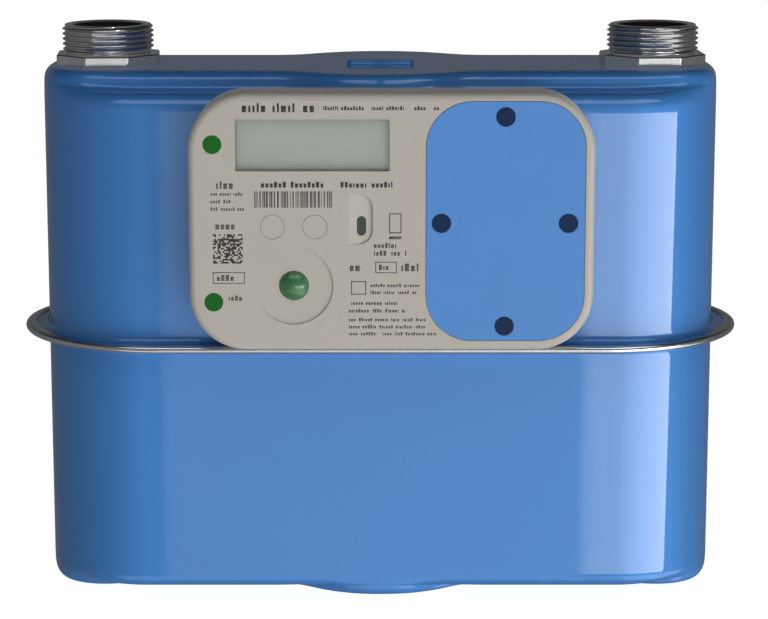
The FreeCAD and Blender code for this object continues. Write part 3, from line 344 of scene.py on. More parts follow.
def shell_rows(stations, edge, ledge, closed_z, seam_z, up):
    """Rows of points from just inside the panel's rim, down the wall and out along the flange."""
    plain = end_profile(edge, ledge)
    side = side_profile(edge, ledge)
    rows = []
    inset = ((plain[0][0] + RIM_INSET, 0.0), (side[0][0] + RIM_INSET, 0.0))
    for (u0, d0), (u1, d1) in [inset, *zip(plain, side)]:
        row = []
        for x, y, nx, ny, gap, _ in stations:
            share = gap / FULL_GAP
            inward = u0 + (u1 - u0) * share
            drop = d0 + (d1 - d0) * share
            row.append(Vector((x - nx * inward, y - ny * inward, closed_z - up * drop)))
        rows.append(row)
    wall_top = closed_z - up * ledge[2]
    wall_end = seam_z + up * FLANGE_FILLET
    for share in WALL_SHARES:
        z = wall_top + (wall_end - wall_top) * share
        rows.append([Vector((x, y, z)) for x, y, *_ in stations])
    for step in range(1, FILLET_STEPS + 1):
        angle = math.pi / 2 * step / FILLET_STEPS
        out = FLANGE_FILLET * (1 - math.cos(angle))
        z = wall_end - up * FLANGE_FILLET * math.sin(angle)
        rows.append([Vector((s[0] + s[2] * out, s[1] + s[3] * out, z)) for s in stations])
    for share in FLANGE_SHARES:
        row = []
        for x, y, nx, ny, _, reach in stations:
            out = FLANGE_FILLET + (reach - FLANGE_FILLET) * share
            row.append(Vector((x + nx * out, y + ny * out, seam_z)))
        rows.append(row)
    return rows


def loft(bm, rows, closed=True):
    """Joins rows of points with quads and returns the vertex rows."""
    made = [[bm.verts.new(p) for p in row] for row in rows]
    for a, b in zip(made, made[1:]):
        count = len(a) if closed else len(a) - 1
        for i in range(count):
            j = (i + 1) % len(a)
            bm.faces.new((a[i], a[j], b[j], b[i]))
    return made


def ring_edges(ring):
    """The edges between the neighbours of a closed ring of vertices."""
    edges = []
    for i, vert in enumerate(ring):
        follower = ring[(i + 1) % len(ring)]
        edges.append(next(e for e in vert.link_edges if follower in e.verts))
    return edges


def hole_ring(bm, x, z, r):
    """A narrow rim of vertices round a hole in the panel; returns the outer ones."""
    return loft(bm, [circle(x, r + grow, z, HOLE_STEPS) for grow in (HOLE_EDGE, 0.0)])[0]


def close_panel(bm, ring, holes):
    """Fills the flat panel inside its rim, round its holes."""
    edges = ring_edges(ring)
    for hole in holes:
        edges += ring_edges(hole)
    bmesh.ops.triangle_fill(bm, use_beauty=True, edges=edges)


def lifting_pad(bm, z):
    """The small raised pad at the middle of the top panel."""
    rows = []
    for grow, rise in PAD_SECTION:
        row = []
        for sx, sy, first in ((1, 1, 0), (-1, 1, 90), (-1, -1, 180), (1, -1, 270)):
            for step in range(PAD_STEPS + 1):
                turn = math.radians(first + 90 * step / PAD_STEPS)
                r = PAD_CORNER_R + grow
                x = sx * (PAD_HALF_WIDTH - PAD_CORNER_R) + r * math.cos(turn)
                y = sy * (PAD_HALF_DEPTH - PAD_CORNER_R) + r * math.sin(turn)
                row.append(Vector((x, y, z + rise)))
        rows.append(row)
    top = loft(bm, rows)[-1]
    bm.faces.new(top)


def thicken(piece, thickness):
    """Gives a surface its sheet thickness, inwards."""
    solid = piece.modifiers.new("sheet", "SOLIDIFY")
    solid.thickness = thickness * MM
    solid.offset = -1


def upper_case(stations, material):
    """The drawn upper half, with the nipples' holes and the pad in its panel."""
    bm = bmesh.new()
    rows = loft(bm, shell_rows(stations, UPPER_EDGE, UPPER_LEDGE, TOP_Z, FLANGE_TOP, 1))
    holes = [hole_ring(bm, centre(n).x, TOP_Z, SPIGOT_R) for n in ("inlet_nipple", "outlet_nipple")]
    close_panel(bm, rows[0], holes)
    lifting_pad(bm, TOP_Z)
    bmesh.ops.recalc_face_normals(bm, faces=bm.faces)
    piece = add_piece("upper_case_shell", bm, material, replaces=("upper_case",))
    thicken(piece, SHEET)


def lower_case(stations, material):
    """The drawn lower half, with its normals turned outwards so that its sheet grows inwards."""
    bm = bmesh.new()
    flange_z = 2 * SEAM_Z - FLANGE_TOP
    rows = loft(bm, shell_rows(stations, LOWER_EDGE, LOWER_LEDGE, BASE_Z, flange_z, -1))
    close_panel(bm, rows[0], [])
    bmesh.ops.recalc_face_normals(bm, faces=bm.faces)
    base = min(bm.faces, key=lambda face: face.calc_center_median().z)
    if base.normal.z > 0:
        bmesh.ops.reverse_faces(bm, faces=bm.faces)
    piece = add_piece("lower_case_shell", bm, material, replaces=("lower_case",))
    thicken(piece, SHEET)


def mirrored(points):
    """The same section points below the middle, in the opposite order."""
    return [(out, -rise) for out, rise in reversed(points)]


def band_profile():
    """Section of the folded band as (outward, up) from its nominal outline."""
    h = BAND_HALF
    lip = [(-BAND_LIP, h - BAND_SHEET), (-BAND_LIP, h - BAND_EDGE), (BAND_EDGE - BAND_LIP, h)]
    lip += [(-BAND_FLAT, h), (-h - BAND_EASE, h)]
    fold = []
    for step in range(FOLD_STEPS + 1):
        angle = math.pi / 2 - math.pi * step / FOLD_STEPS
        fold.append((-h + h * math.cos(angle), h * math.sin(angle)))
    room = [BAND_ROOM_END, (-BAND_ROOM, h - BAND_SHEET)]
    return lip + fold + mirrored(lip) + mirrored(room) + room


def seam_band(material):
    """The bright band folded over both flanges."""
    bm = bmesh.new()
    rows = []
    for out, rise in band_profile():
        row = []
        for cx, first in ((FLANGE_STRAIGHT, -90), (-FLANGE_STRAIGHT, 90)):
            for step in range(BAND_STEPS + 1):
                turn = math.radians(first + 180 * step / BAND_STEPS)
                r = BAND_R + out
                row.append(Vector((cx + r * math.cos(turn), r * math.sin(turn), SEAM_Z + rise)))
        rows.append(row)
    made = loft(bm, rows)
    first, last = made[0], made[-1]
    for i in range(len(first)):
        j = (i + 1) % len(first)
        bm.faces.new((last[i], last[j], first[j], first[i]))
    bmesh.ops.recalc_face_normals(bm, faces=bm.faces)
    add_piece("seam_band_fold", bm, material, replaces=("seam_band",))


# ---------------------------------------------------------------- nipples


def thread_radius(phase, z, bottom, top):
    """Radius of a vee thread that runs out at the collar and is chamfered at the rim."""
    rise = abs(phase % 1.0 - 0.5) * 2
    depth = THREAD_DEPTH * min(max((rise - THREAD_FLAT) / (1 - 2 * THREAD_FLAT), 0.0), 1.0)
    fade = min(max((z - bottom - RUNOUT_START) / RUNOUT, 0.0), 1.0)
    crest = THREAD_R - depth
    root = THREAD_R - THREAD_DEPTH
    chamfer = THREAD_R - THREAD_CHAMFER + max(top - z, 0.0) * CHAMFER_SLOPE
    return min(root + (crest - root) * fade, chamfer)


def nipple_thread(bm, x, bottom, top, start):
    """The threaded tube, with rows that follow the helix."""
    count = int((top - bottom) / THREAD_PITCH * THREAD_ROWS) + 2 * THREAD_ROWS
    rows = []
    for i in range(count):
        row = []
        for step in range(THREAD_STEPS + 1):
            lift = THREAD_PITCH * (i / THREAD_ROWS + step / THREAD_STEPS - 1.0)
            z = min(max(bottom + lift, bottom), top)
            phase = (z - bottom) / THREAD_PITCH - step / THREAD_STEPS + start
            r = thread_radius(phase, z, bottom, top)
            turn = 2 * math.pi * step / THREAD_STEPS
            row.append(Vector((x + r * math.cos(turn), r * math.sin(turn), z)))
        rows.append(row)
    loft(bm, rows, closed=False)


def turned_rings(bm, x, profile):
    """A surface of revolution about a nipple's axis."""
    loft(bm, [circle(x, r, z, THREAD_STEPS) for r, z in profile])


def collar_radius(turn, z, top):
    """An octagon with blunt corners and a narrow bevel round its top."""
    sector = 2 * math.pi / COLLAR_SIDES
    local = (turn - COLLAR_TURN + sector / 2) % sector - sector / 2
    flat = COLLAR_FLATS / 2 / math.cos(local)
    return min(flat, COLLAR_FLATS / 2 + COLLAR_CORNER) - max(0.0, z - top + COLLAR_BEVEL)


def nipple_collar(bm, x, bottom, top):
    """The octagonal collar that stands on the case, closed on top up to the thread."""
    rows = []
    for z in (bottom - COLLAR_SINK, bottom + COLLAR_FOOT, top - COLLAR_BEVEL, top):
        row = []
        for step in range(COLLAR_STEPS):
            turn = 2 * math.pi * step / COLLAR_STEPS
            r = collar_radius(turn, z, top)
            row.append(Vector((x + r * math.cos(turn), r * math.sin(turn), z)))
        rows.append(row)
    rows.append(circle(x, COLLAR_HOLE_R, top, COLLAR_STEPS))
    loft(bm, rows)


def nipple(node, start, material, bore):
    """A threaded tube on its collar, with painted shade inside the bore: the faces there get a near-black
    material.
    """
    x = centre(node).x
    top = high(node).z
    bottom = low(node).z
    collar_top = TOP_Z + COLLAR_HEIGHT
    bm = bmesh.new()
    nipple_thread(bm, x, collar_top, top, start)
    profile = [(THREAD_R - THREAD_CHAMFER, top), (NIPPLE_BORE_R + BORE_EDGE, top)]
    profile += [(NIPPLE_BORE_R + BORE_EDGE / 4, top - BORE_EDGE / 4), (NIPPLE_BORE_R, top - BORE_EDGE)]
    profile += [(NIPPLE_BORE_R, bottom), (SPIGOT_R, bottom), (SPIGOT_R, collar_top)]
    turned_rings(bm, x, profile)
    nipple_collar(bm, x, TOP_Z, collar_top)
    bmesh.ops.remove_doubles(bm, verts=bm.verts, dist=WELD_DISTANCE)
    bmesh.ops.recalc_face_normals(bm, faces=bm.faces)
    # Painted shade: the faces inside the bore get the near-black second material, which stands in for the
    # shade in the tube.
    for face in bm.faces:
        spot = face.calc_center_median()
        if math.hypot(spot.x - x, spot.y) < NIPPLE_BORE_R + BORE_MARGIN:
            face.material_index = 1
    piece = add_piece(node + "_threaded", bm, material, replaces=(node,))
    piece.data.materials.append(bore)
    mark_sharp(piece, FACET_DEGREES)


def mark_sharp(piece, degrees):
    """Keeps creases crisp on a smooth-shaded piece."""
    bpy.context.view_layer.objects.active = piece
    bpy.ops.object.select_all(action="DESELECT")
    piece.select_set(True)
    bpy.ops.object.shade_smooth_by_angle(angle=math.radians(degrees))


# ---------------------------------------------------------------- generic prints


def mark(bm, x0, x1, z0, z1):
    """A flat block of ink on the index face."""
    corners = ((x0, z0), (x1, z0), (x1, z1), (x0, z1))
    front = [bm.verts.new((x, FACE_Y - INK_HEIGHT, z)) for x, z in corners]
    back = [bm.verts.new((x, FACE_Y + INK_ROOT, z)) for x, z in corners]
    bm.faces.new(front)
    for i in range(4):
        j = (i + 1) % 4
        bm.faces.new((front[i], back[i], back[j], front[j]))


def frame_mark(bm, x0, x1, z0, z1, line):
    """Four strips of ink round an empty rectangle."""
    mark(bm, x0, x1, z0, z0 + line)
    mark(bm, x0, x1, z1 - line, z1)
    mark(bm, x0, x0 + line, z0, z1)
    mark(bm, x1 - line, x1, z0, z1)


def filler_row(bm, x0, x1, z, height, rng, word):
    """A row of word-like groups of small blocks that spell nothing."""
    pitch = height * LETTER_PITCH
    x = x0
    while x < x1 - pitch:
        for _ in range(rng.randint(*word)):
            if x > x1 - pitch:
                break
            width = pitch * rng.choice(LETTER_WIDTHS)
            tall = height * rng.choice(LETTER_HEIGHTS)
            mark(bm, x, x + width, z - height / 2, z - height / 2 + tall)
            x += width + pitch * LETTER_GAP
        x += pitch * rng.uniform(*WORD_GAPS)


def print_origin():
    """The point near the housing's lower left corner that every print is measured from."""
    return low("index_rear_housing") + PRINT_INSET


def print_rows(bm, rows, rng, word=(3, 8)):
    """Filler rows that share one range of word lengths."""
    base = print_origin()
    for left, right, middle, height in rows:
        filler_row(bm, base.x + left, base.x + right, base.z + middle, height, rng, word)


def print_frame(bm, left, right, bottom, top, line):
    """A frame placed from the print origin."""
    base = print_origin()
    frame_mark(bm, base.x + left, base.x + right, base.z + bottom, base.z + top, line)


def title_print(material, rng):
    bm = bmesh.new()
    print_rows(bm, [TITLE_ROW], rng, (4, 5))
    print_rows(bm, SUBTITLE_ROWS, rng)
    add_piece("title_print", bm, material)


def heading_print(material, rng):
    bm = bmesh.new()
    print_rows(bm, [HEADING_ROW], rng, (3, 12))
    print_rows(bm, [HEADING_END_ROW], rng, (6, 9))
    add_piece("heading_print", bm, material)


def column_print(material, rng):
    bm = bmesh.new()
    print_rows(bm, COLUMN_ROWS, rng, (3, 6))
    print_frame(bm, *COLUMN_FRAME)
    print_rows(bm, [COLUMN_FRAMED_ROW], rng, (4, 4))
    add_piece("column_print", bm, material)


def bars_print(material, rng):
    """Upright bars of random widths with no code in them."""
    bm = bmesh.new()
    base = print_origin()
    x = base.x + BARS_LEFT
    while x < base.x + BARS_RIGHT:
        width = rng.choice(BAR_WIDTHS)
        mark(bm, x, x + width, base.z + BARS_BOTTOM, base.z + BARS_TOP)
        x += width + rng.choice(BAR_GAPS)
    add_piece("bars_print", bm, material)


def mosaic_print(material, rng):
    """A plain chequer of random squares with no code in it."""
    bm = bmesh.new()
    base = print_origin()
    size = MOSAIC_SIZE / MOSAIC_CELLS
    for row in range(MOSAIC_CELLS):
        for column in range(MOSAIC_CELLS):
            if rng.random() < MOSAIC_INK:
                x = base.x + MOSAIC_LEFT + column * size
                z = base.z + MOSAIC_BOTTOM + row * size
                mark(bm, x, x + size, z, z + size)
    add_piece("mosaic_print", bm, material)


def data_print(material, rng):
    bm = bmesh.new()
    base = print_origin()
    print_rows(bm, DATA_ROWS, rng)
    print_rows(bm, [DATA_FRAMED_ROW], rng, (3, 3))
    print_rows(bm, [DATA_RIGHT_ROW], rng, (4, 4))
    print_rows(bm, [DATA_LEFT_ROW], rng, (2, 2))
    for corners in DATA_FRAMES:
        print_frame(bm, *corners)
    left, right, bottom, top = DATA_BAR
    mark(bm, base.x + left, base.x + right, base.z + bottom, base.z + top)
    add_piece("data_print", bm, material)


# ---------------------------------------------------------------- materials


def new_material(name):
    material = bpy.data.materials.new(name)
    material.use_nodes = True
    nodes = material.node_tree.nodes
    return material, nodes, material.node_tree.links, nodes["Principled BSDF"]


def coordinates(nodes, links, scale):
    place = nodes.new("ShaderNodeTexCoord")
    mapping = nodes.new("ShaderNodeMapping")
    mapping.inputs["Scale"].default_value = scale
    links.new(place.outputs["Object"], mapping.inputs["Vector"])
    return mapping.outputs["Vector"]


def noise(nodes, links, vector, scale, detail=3.0, roughness=0.55):
    texture = nodes.new("ShaderNodeTexNoise")
    texture.inputs["Scale"].default_value = scale
    texture.inputs["Detail"].default_value = detail
    texture.inputs["Roughness"].default_value = roughness
    links.new(vector, texture.inputs["Vector"])
    return texture.outputs["Fac"]


def spread(nodes, links, value, low_out, high_out):
    """Maps the middle of a noise onto a range."""
    remap = nodes.new("ShaderNodeMapRange")
    remap.inputs["From Min"].default_value = 0.3
    remap.inputs["From Max"].default_value = 0.7
    remap.inputs["To Min"].default_value = low_out
    remap.inputs["To Max"].default_value = high_out
    links.new(value, remap.inputs["Value"])
    return remap.outputs["Result"]


def tint(nodes, links, value, first, second):
    ramp = nodes.new("ShaderNodeValToRGB")
    ramp.color_ramp.elements[0].position = 0.3
    ramp.color_ramp.elements[1].position = 0.7
    ramp.color_ramp.elements[0].color = (*first, 1.0)
    ramp.color_ramp.elements[1].color = (*second, 1.0)
    links.new(value, ramp.inputs["Fac"])
    return ramp.outputs["Color"]


def bump(nodes, links, height, strength, distance):
    node = nodes.new("ShaderNodeBump")
    node.inputs["Strength"].default_value = strength
    node.inputs["Distance"].default_value = distance
    links.new(height, node.inputs["Height"])
    return node.outputs["Normal"]


def shaded(colour, factor):
    return tuple(min(c * factor, 1.0) for c in colour)


def moulded(name, colour, rough=0.45, grain=2600.0, depth=0.1, metallic=0.0, sheen=0.0, shine=0.5,
            variation=0.05):
    """A finish with cloudy tint, fine grain and uneven gloss."""
    material, nodes, links, shader = new_material(name)
    vector = coordinates(nodes, links, (1, 1, 1))
    cloud = noise(nodes, links, vector, 38.0, 4.0)
    fine = noise(nodes, links, vector, grain, 2.0)
    colours = tint(nodes, links, cloud, shaded(colour, 1 - variation), shaded(colour, 1 + variation))
    links.new(colours, shader.inputs["Base Color"])
    links.new(spread(nodes, links, fine, rough - 0.04, rough + 0.04), shader.inputs["Roughness"])
    links.new(bump(nodes, links, fine, depth, 0.0001), shader.inputs["Normal"])
    shader.inputs["Metallic"].default_value = metallic
    shader.inputs["Sheen Weight"].default_value = sheen
    shader.inputs["Specular IOR Level"].default_value = shine
    return material


def case_paint():
    """Blue metallic paint under clear lacquer, with the faint ripple of a sprayed coat."""
    material, nodes, links, shader = new_material("case_paint")
    vector = coordinates(nodes, links, (1, 1, 1))
    cloud = noise(nodes, links, vector, 9.0, 3.0)
    flake = noise(nodes, links, vector, 5200.0, 1.0)
    ripple = noise(nodes, links, vector, 210.0, 2.0)
    colours = tint(nodes, links, cloud, (0.039, 0.214, 0.57), (0.042, 0.222, 0.59))
    links.new(colours, shader.inputs["Base Color"])
    links.new(spread(nodes, links, flake, 0.58, 0.62), shader.inputs["Roughness"])
    links.new(bump(nodes, links, ripple, 0.012, 0.0002), shader.inputs["Coat Normal"])
    links.new(bump(nodes, links, flake, 0.03, 0.00005), shader.inputs["Normal"])
    shader.inputs["Metallic"].default_value = 0.5
    shader.inputs["Coat Weight"].default_value = 1.0
    shader.inputs["Coat Roughness"].default_value = 0.02
    shader.inputs["Coat IOR"].default_value = 1.5
    return material


def bright_steel(name, colour, rough, stretch):
    """Plated steel with faint turning lines."""
    material, nodes, links, shader = new_material(name)
    vector = coordinates(nodes, links, stretch)
    lines = noise(nodes, links, vector, 900.0, 3.0)
    cloud = noise(nodes, links, coordinates(nodes, links, (1, 1, 1)), 60.0, 3.0)
    colours = tint(nodes, links, cloud, shaded(colour, 0.93), shaded(colour, 1.05))
    links.new(colours, shader.inputs["Base Color"])
    links.new(spread(nodes, links, lines, rough * 0.8, rough * 1.25), shader.inputs["Roughness"])
    links.new(bump(nodes, links, lines, 0.02, 0.00003), shader.inputs["Normal"])
    shader.inputs["Metallic"].default_value = 1.0
    return material


def clear_window():
    """Clear plastic with a faint smear."""
    material, nodes, links, shader = new_material("clear_window")
    vector = coordinates(nodes, links, (1, 1, 1))
    smear = noise(nodes, links, vector, 24.0, 3.0)
    links.new(tint(nodes, links, smear, (0.97, 0.98, 0.97), (1.0, 1.0, 1.0)), shader.inputs["Base Color"])
    links.new(spread(nodes, links, smear, 0.02, 0.05), shader.inputs["Roughness"])
    shader.inputs["Transmission Weight"].default_value = 1.0
    shader.inputs["IOR"].default_value = 1.12
    return material


def display_glass():
    """The grey-green face of an idle liquid-crystal panel."""
    material, nodes, links, shader = new_material("display_glass")
    vector = coordinates(nodes, links, (1, 1, 1))
    cloud = noise(nodes, links, vector, 16.0, 3.0)
    cells = nodes.new("ShaderNodeTexChecker")
    cells.inputs["Scale"].default_value = 900.0
    links.new(vector, cells.inputs["Vector"])
    colours = tint(nodes, links, cloud, (0.475, 0.53, 0.47), (0.5, 0.555, 0.495))
    mix = nodes.new("ShaderNodeMix")
    mix.data_type = "RGBA"
    mix.blend_type = "MULTIPLY"
    mix.inputs["Factor"].default_value = 0.03
    links.new(colours, mix.inputs["A"])
    links.new(cells.outputs["Color"], mix.inputs["B"])
    links.new(mix.outputs["Result"], shader.inputs["Base Color"])
    links.new(spread(nodes, links, cloud, 0.3, 0.36), shader.inputs["Roughness"])
    return material


def board_mask():
    """Green solder mask with a faint web of tracks."""
    material, nodes, links, shader = new_material("board_mask")
    vector = coordinates(nodes, links, (1, 0.02, 1))
    tracks = nodes.new("ShaderNodeTexBrick")
    tracks.inputs["Scale"].default_value = 160.0
    tracks.inputs["Mortar Size"].default_value = 0.06
    tracks.inputs["Color1"].default_value = (0.015, 0.11, 0.05, 1)
    tracks.inputs["Color2"].default_value = (0.02, 0.13, 0.06, 1)
    tracks.inputs["Mortar"].default_value = (0.03, 0.2, 0.09, 1)
    links.new(vector, tracks.inputs["Vector"])
    links.new(tracks.outputs["Color"], shader.inputs["Base Color"])
    links.new(bump(nodes, links, tracks.outputs["Fac"], 0.2, 0.0001), shader.inputs["Normal"])
    shader.inputs["Roughness"].default_value = 0.3
    return material


def glossy_green():
    """Moulded dark green dome with a thin clear skin."""
    material, nodes, links, shader = new_material("glossy_green")
    vector = coordinates(nodes, links, (1, 1, 1))
    cloud = noise(nodes, links, vector, 240.0, 3.0)
    links.new(tint(nodes, links, cloud, (0.03, 0.145, 0.05), (0.05, 0.18, 0.07)), shader.inputs["Base Color"])
    links.new(spread(nodes, links, cloud, 0.2, 0.26), shader.inputs["Roughness"])
    shader.inputs["Coat Weight"].default_value = 0.25
    shader.inputs["Coat Roughness"].default_value = 0.12
    return material


def diaphragm_skin():
    """Brown coated fabric with a fine weave."""
    material, nodes, links, shader = new_material("diaphragm_skin")
    vector = coordinates(nodes, links, (1, 1, 1))
    weave = nodes.new("ShaderNodeTexWave")
    weave.inputs["Scale"].default_value = 420.0
    weave.inputs["Distortion"].default_value = 1.5
    links.new(vector, weave.inputs["Vector"])
    links.new(tint(nodes, links, weave.outputs["Fac"], (0.10, 0.08, 0.05), (0.15, 0.12, 0.08)),
              shader.inputs["Base Color"])
    links.new(bump(nodes, links, weave.outputs["Fac"], 0.3, 0.0001), shader.inputs["Normal"])
    shader.inputs["Roughness"].default_value = 0.7
    return material


def ink(name, depth):
    """Dark print of uneven density."""
    return moulded(name, (depth, depth, depth * 0.95), rough=0.55, grain=3000.0, depth=0.03, variation=0.15)


def floor_material():
    """Pale matt studio floor that stays near white."""
    material, nodes, links, shader = new_material("studio_floor")
    vector = coordinates(nodes, links, (1, 1, 1))
    cloud = noise(nodes, links, vector, 3.0, 3.0)
    links.new(tint(nodes, links, cloud, (0.5, 0.5, 0.5), (0.52, 0.52, 0.52)), shader.inputs["Base Color"])
    links.new(spread(nodes, links, cloud, 0.85, 0.95), shader.inputs["Roughness"])
    shader.inputs["Emission Color"].default_value = (1, 1, 1, 1)
    shader.inputs["Emission Strength"].default_value = 0.93
    shader.inputs["Specular IOR Level"].default_value = 0.0
    return material


def make_materials():
    """One finish for each of the record's material slots."""
    return {
        "case_paint": case_paint(),
        "band_steel": bright_steel("band_steel", (0.56, 0.57, 0.59), 0.2, (1, 1, 6)),
        "nipple_steel": bright_steel("nipple_steel", (0.6, 0.6, 0.6), 0.13, (1, 1, 12)),
        "plain_steel": bright_steel("plain_steel", (0.55, 0.55, 0.56), 0.3, (8, 1, 1)),
        "rubber": moulded("rubber", (0.025, 0.025, 0.025), rough=0.75, grain=1800.0, depth=0.2),
        "index_plastic": moulded("index_plastic", (0.448, 0.417, 0.363), rough=0.42, depth=0.05, sheen=0.35,
                                 variation=0.012),
        "cover_plastic": moulded("cover_plastic", (0.067, 0.242, 0.62), depth=0.04, variation=0.012),
        "screw_paint": moulded("screw_paint", (0.004, 0.02, 0.075), rough=0.4, shine=0.15, variation=0.08),
        "seal_plastic": moulded("seal_plastic", (0.008, 0.115, 0.01), rough=0.5, shine=0.15, variation=0.08),
        "green_dome": glossy_green(),
        "status_green": moulded("status_green", (0.014, 0.045, 0.018), rough=0.15, variation=0.1),
        "infrared_dark": moulded("infrared_dark", (0.032, 0.036, 0.032), rough=0.12, variation=0.1),
        "clear_window": clear_window(),
        "lcd": display_glass(),
        "board": board_mask(),
        "black_plastic": moulded("black_plastic", (0.02, 0.02, 0.02), rough=0.5, variation=0.1),
        "battery_sleeve": moulded("battery_sleeve", (0.04, 0.11, 0.28), rough=0.25, variation=0.1),
        "inner_plastic": moulded("inner_plastic", (0.68, 0.68, 0.64), rough=0.5, variation=0.03),
        "dark_moulding": moulded("dark_moulding", (0.07, 0.07, 0.08), rough=0.45, variation=0.08),
        "diaphragm": diaphragm_skin(),
        "aluminium": bright_steel("aluminium", (0.78, 0.78, 0.8), 0.35, (1, 1, 9)),
        "magnet": moulded("magnet", (0.08, 0.08, 0.085), rough=0.4, metallic=0.8, variation=0.1),
        "brass": bright_steel("brass", (0.75, 0.52, 0.2), 0.25, (1, 1, 10)),
    }


def paint_nodes(materials):
    """Gives every CAD node the finish of its slot."""
    for part in frame["record"]["subparts"]:
        node = frame["nodes"][part["node"]]
        node.data.materials.clear()
        node.data.materials.append(materials[part["material_slot"]])


# ---------------------------------------------------------------- studio


def glow(name, first, last, edge=0.001, start=1.0):
    """Light graded from first to last along a card's u direction, weaker within an edge at its start."""
    material = bpy.data.materials.new(name)
    material.use_nodes = True
    nodes = material.node_tree.nodes
    links = material.node_tree.links
    nodes.clear()
    emission = nodes.new("ShaderNodeEmission")
    output = nodes.new("ShaderNodeOutputMaterial")
    place = nodes.new("ShaderNodeUVMap")
    split = nodes.new("ShaderNodeSeparateXYZ")
    grade = nodes.new("ShaderNodeMapRange")
    soften = nodes.new("ShaderNodeMapRange")
    product = nodes.new("ShaderNodeMath")
    product.operation = "MULTIPLY"
    soften.interpolation_type = "SMOOTHSTEP"
    grade.inputs["To Min"].default_value = first
    grade.inputs["To Max"].default_value = last
    soften.inputs["From Max"].default_value = edge
    soften.inputs["To Min"].default_value = start
    links.new(place.outputs["UV"], split.inputs["Vector"])
    links.new(split.outputs["X"], grade.inputs["Value"])
    links.new(split.outputs["X"], soften.inputs["Value"])
    links.new(grade.outputs["Result"], product.inputs[0])
    links.new(soften.outputs["Result"], product.inputs[1])
    links.new(product.outputs["Value"], emission.inputs["Strength"])
    links.new(emission.outputs["Emission"], output.inputs["Surface"])
    return material


def sweep_card(name, azimuths, elevations, distance, material, slant=0.0):
    """A large curved light panel round the meter; azimuth 0 is the front and grows to the right.

    The slant pulls the far end of its lower edge back towards the front.
    """
    bm = bmesh.new()
    layer = bm.loops.layers.uv.new("UVMap")
    rows = []
    for elevation, pull in zip(elevations, (slant, 0.0)):
        z = CARD_CENTRE_Z + distance * math.tan(math.radians(elevation))
        row = []
        for step in range(CARD_STEPS + 1):
            turn = math.radians(azimuths[0] + (azimuths[1] - pull - azimuths[0]) * step / CARD_STEPS)
            row.append(bm.verts.new((distance * math.sin(turn), -distance * math.cos(turn), z)))
        rows.append(row)
    for step in range(CARD_STEPS):
        corners = ((0, step), (0, step + 1), (1, step + 1), (1, step))
        face = bm.faces.new([rows[row][column] for row, column in corners])
        for loop, (row, column) in zip(face.loops, corners):
            loop[layer].uv = (column / CARD_STEPS, row)
    card = link_mesh(name, bm, material)
    card.visible_camera = False
    card.visible_shadow = False


def studio_world():
    """Dim surroundings, darkest overhead and behind the meter."""
    world = bpy.data.worlds.new("studio")
    world.use_nodes = True
    nodes = world.node_tree.nodes
    links = world.node_tree.links
    place = nodes.new("ShaderNodeTexCoord")
    split = nodes.new("ShaderNodeSeparateXYZ")
    depth = nodes.new("ShaderNodeMapRange")
    depth.inputs["From Min"].default_value = -0.3
    depth.inputs["From Max"].default_value = 0.9
    depth.inputs["To Min"].default_value = 0.26
    depth.inputs["To Max"].default_value = 0.13
    ceiling = nodes.new("ShaderNodeMapRange")
    ceiling.inputs["From Min"].default_value = 0.2
    ceiling.inputs["From Max"].default_value = 0.55
    ceiling.inputs["To Min"].default_value = 1.0
    ceiling.inputs["To Max"].default_value = 0.2
    product = nodes.new("ShaderNodeMath")
    product.operation = "MULTIPLY"
    links.new(place.outputs["Generated"], split.inputs["Vector"])
    links.new(split.outputs["Y"], depth.inputs["Value"])
    links.new(split.outputs["Z"], ceiling.inputs["Value"])
    links.new(depth.outputs["Result"], product.inputs[0])
    links.new(ceiling.outputs["Result"], product.inputs[1])
    links.new(product.outputs["Value"], nodes["Background"].inputs["Strength"])
    nodes["Background"].inputs["Color"].default_value = (0.97, 0.99, 1.0, 1)
    bpy.context.scene.world = world


def studio_floor():
    """A floor that lights, shades and mirrors nothing."""
    bm = bmesh.new()
    bm.faces.new([bm.verts.new((x, y, FLOOR_Z)) for x, y in FLOOR_CORNERS])
    floor = link_mesh("floor", bm, floor_material())
    floor.visible_glossy = False
    floor.visible_diffuse = False
    floor.visible_shadow = False


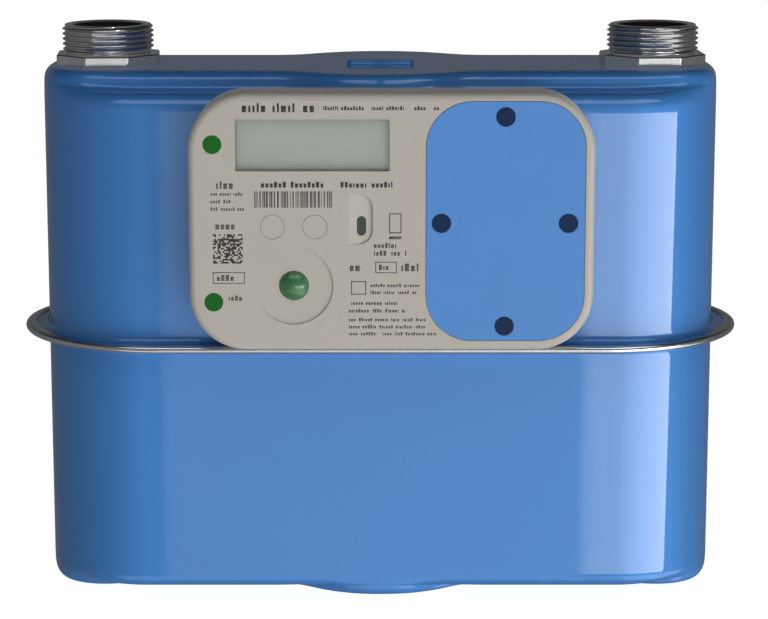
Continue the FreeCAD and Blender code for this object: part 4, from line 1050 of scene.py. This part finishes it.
def studio_cards():
    """Wide cards below the horizon, which the walls reflect, and high ones for the top."""
    right = glow("right_glow", 3.5, 8.3, edge=0.006, start=0.65)
    front = glow("front_glow", 1.1, 1.1, edge=0.03, start=0.7)
    sweep_card("right_sweep", (4.85, 71.5), (-20.0, -6.6), 8.0, right, slant=7.5)
    sweep_card("front_sweep", (-5.42, 4.9), (-44.0, -4.0), 8.1, front)
    sweep_card("front_low", (-44.0, 17.0), (-62.0, -26.0), 5.0, glow("front_low_glow", 1.02, 1.02))
    sweep_card("right_low", (17.0, 100.0), (-62.0, -26.0), 5.1, glow("right_low_glow", 2.0, 2.0))
    sweep_card("left_high", (-44.0, -3.0), (40.0, 68.0), 5.2, glow("left_high_glow", 1.7, 1.5))
    sweep_card("right_high", (3.0, 62.0), (40.0, 68.0), 5.3, glow("right_high_glow", 1.6, 2.4))


def camera():
    data = bpy.data.cameras.new("camera")
    data.lens = CAMERA_LENS
    data.sensor_width = SENSOR_WIDTH
    data.sensor_fit = "HORIZONTAL"
    data.clip_start = 0.05
    data.clip_end = 60.0
    view = bpy.data.objects.new("camera", data)
    view.location = CAMERA_PLACE
    view.rotation_euler = (CAMERA_TILT, 0.0, 0.0)
    bpy.context.scene.collection.objects.link(view)
    bpy.context.scene.camera = view
    bpy.context.scene.view_settings.view_transform = "Standard"


def build():
    materials = make_materials()
    paint_nodes(materials)
    stations = case_stations()
    upper_case(stations, materials["case_paint"])
    lower_case(stations, materials["case_paint"])
    seam_band(materials["band_steel"])
    # Painted shade: a near-black material for the inside of the nipples' bores, where the steel lies in
    # shade.
    bore = moulded("bore_painted_shade", (0.004, 0.004, 0.004), rough=0.8, grain=1200.0, variation=0.2)
    for node, start in THREAD_STARTS.items():
        nipple(node, start, materials["nipple_steel"], bore)
    rng = random.Random(PRINT_SEED)
    dark_ink = ink("dark_ink", 0.035)
    fine_ink = ink("fine_ink", 0.1)
    for make in (title_print, heading_print, mosaic_print):
        make(dark_ink, rng)
    for make in (bars_print, column_print, data_print):
        make(fine_ink, rng)
    studio_world()
    studio_floor()
    studio_cards()
    camera()


build()
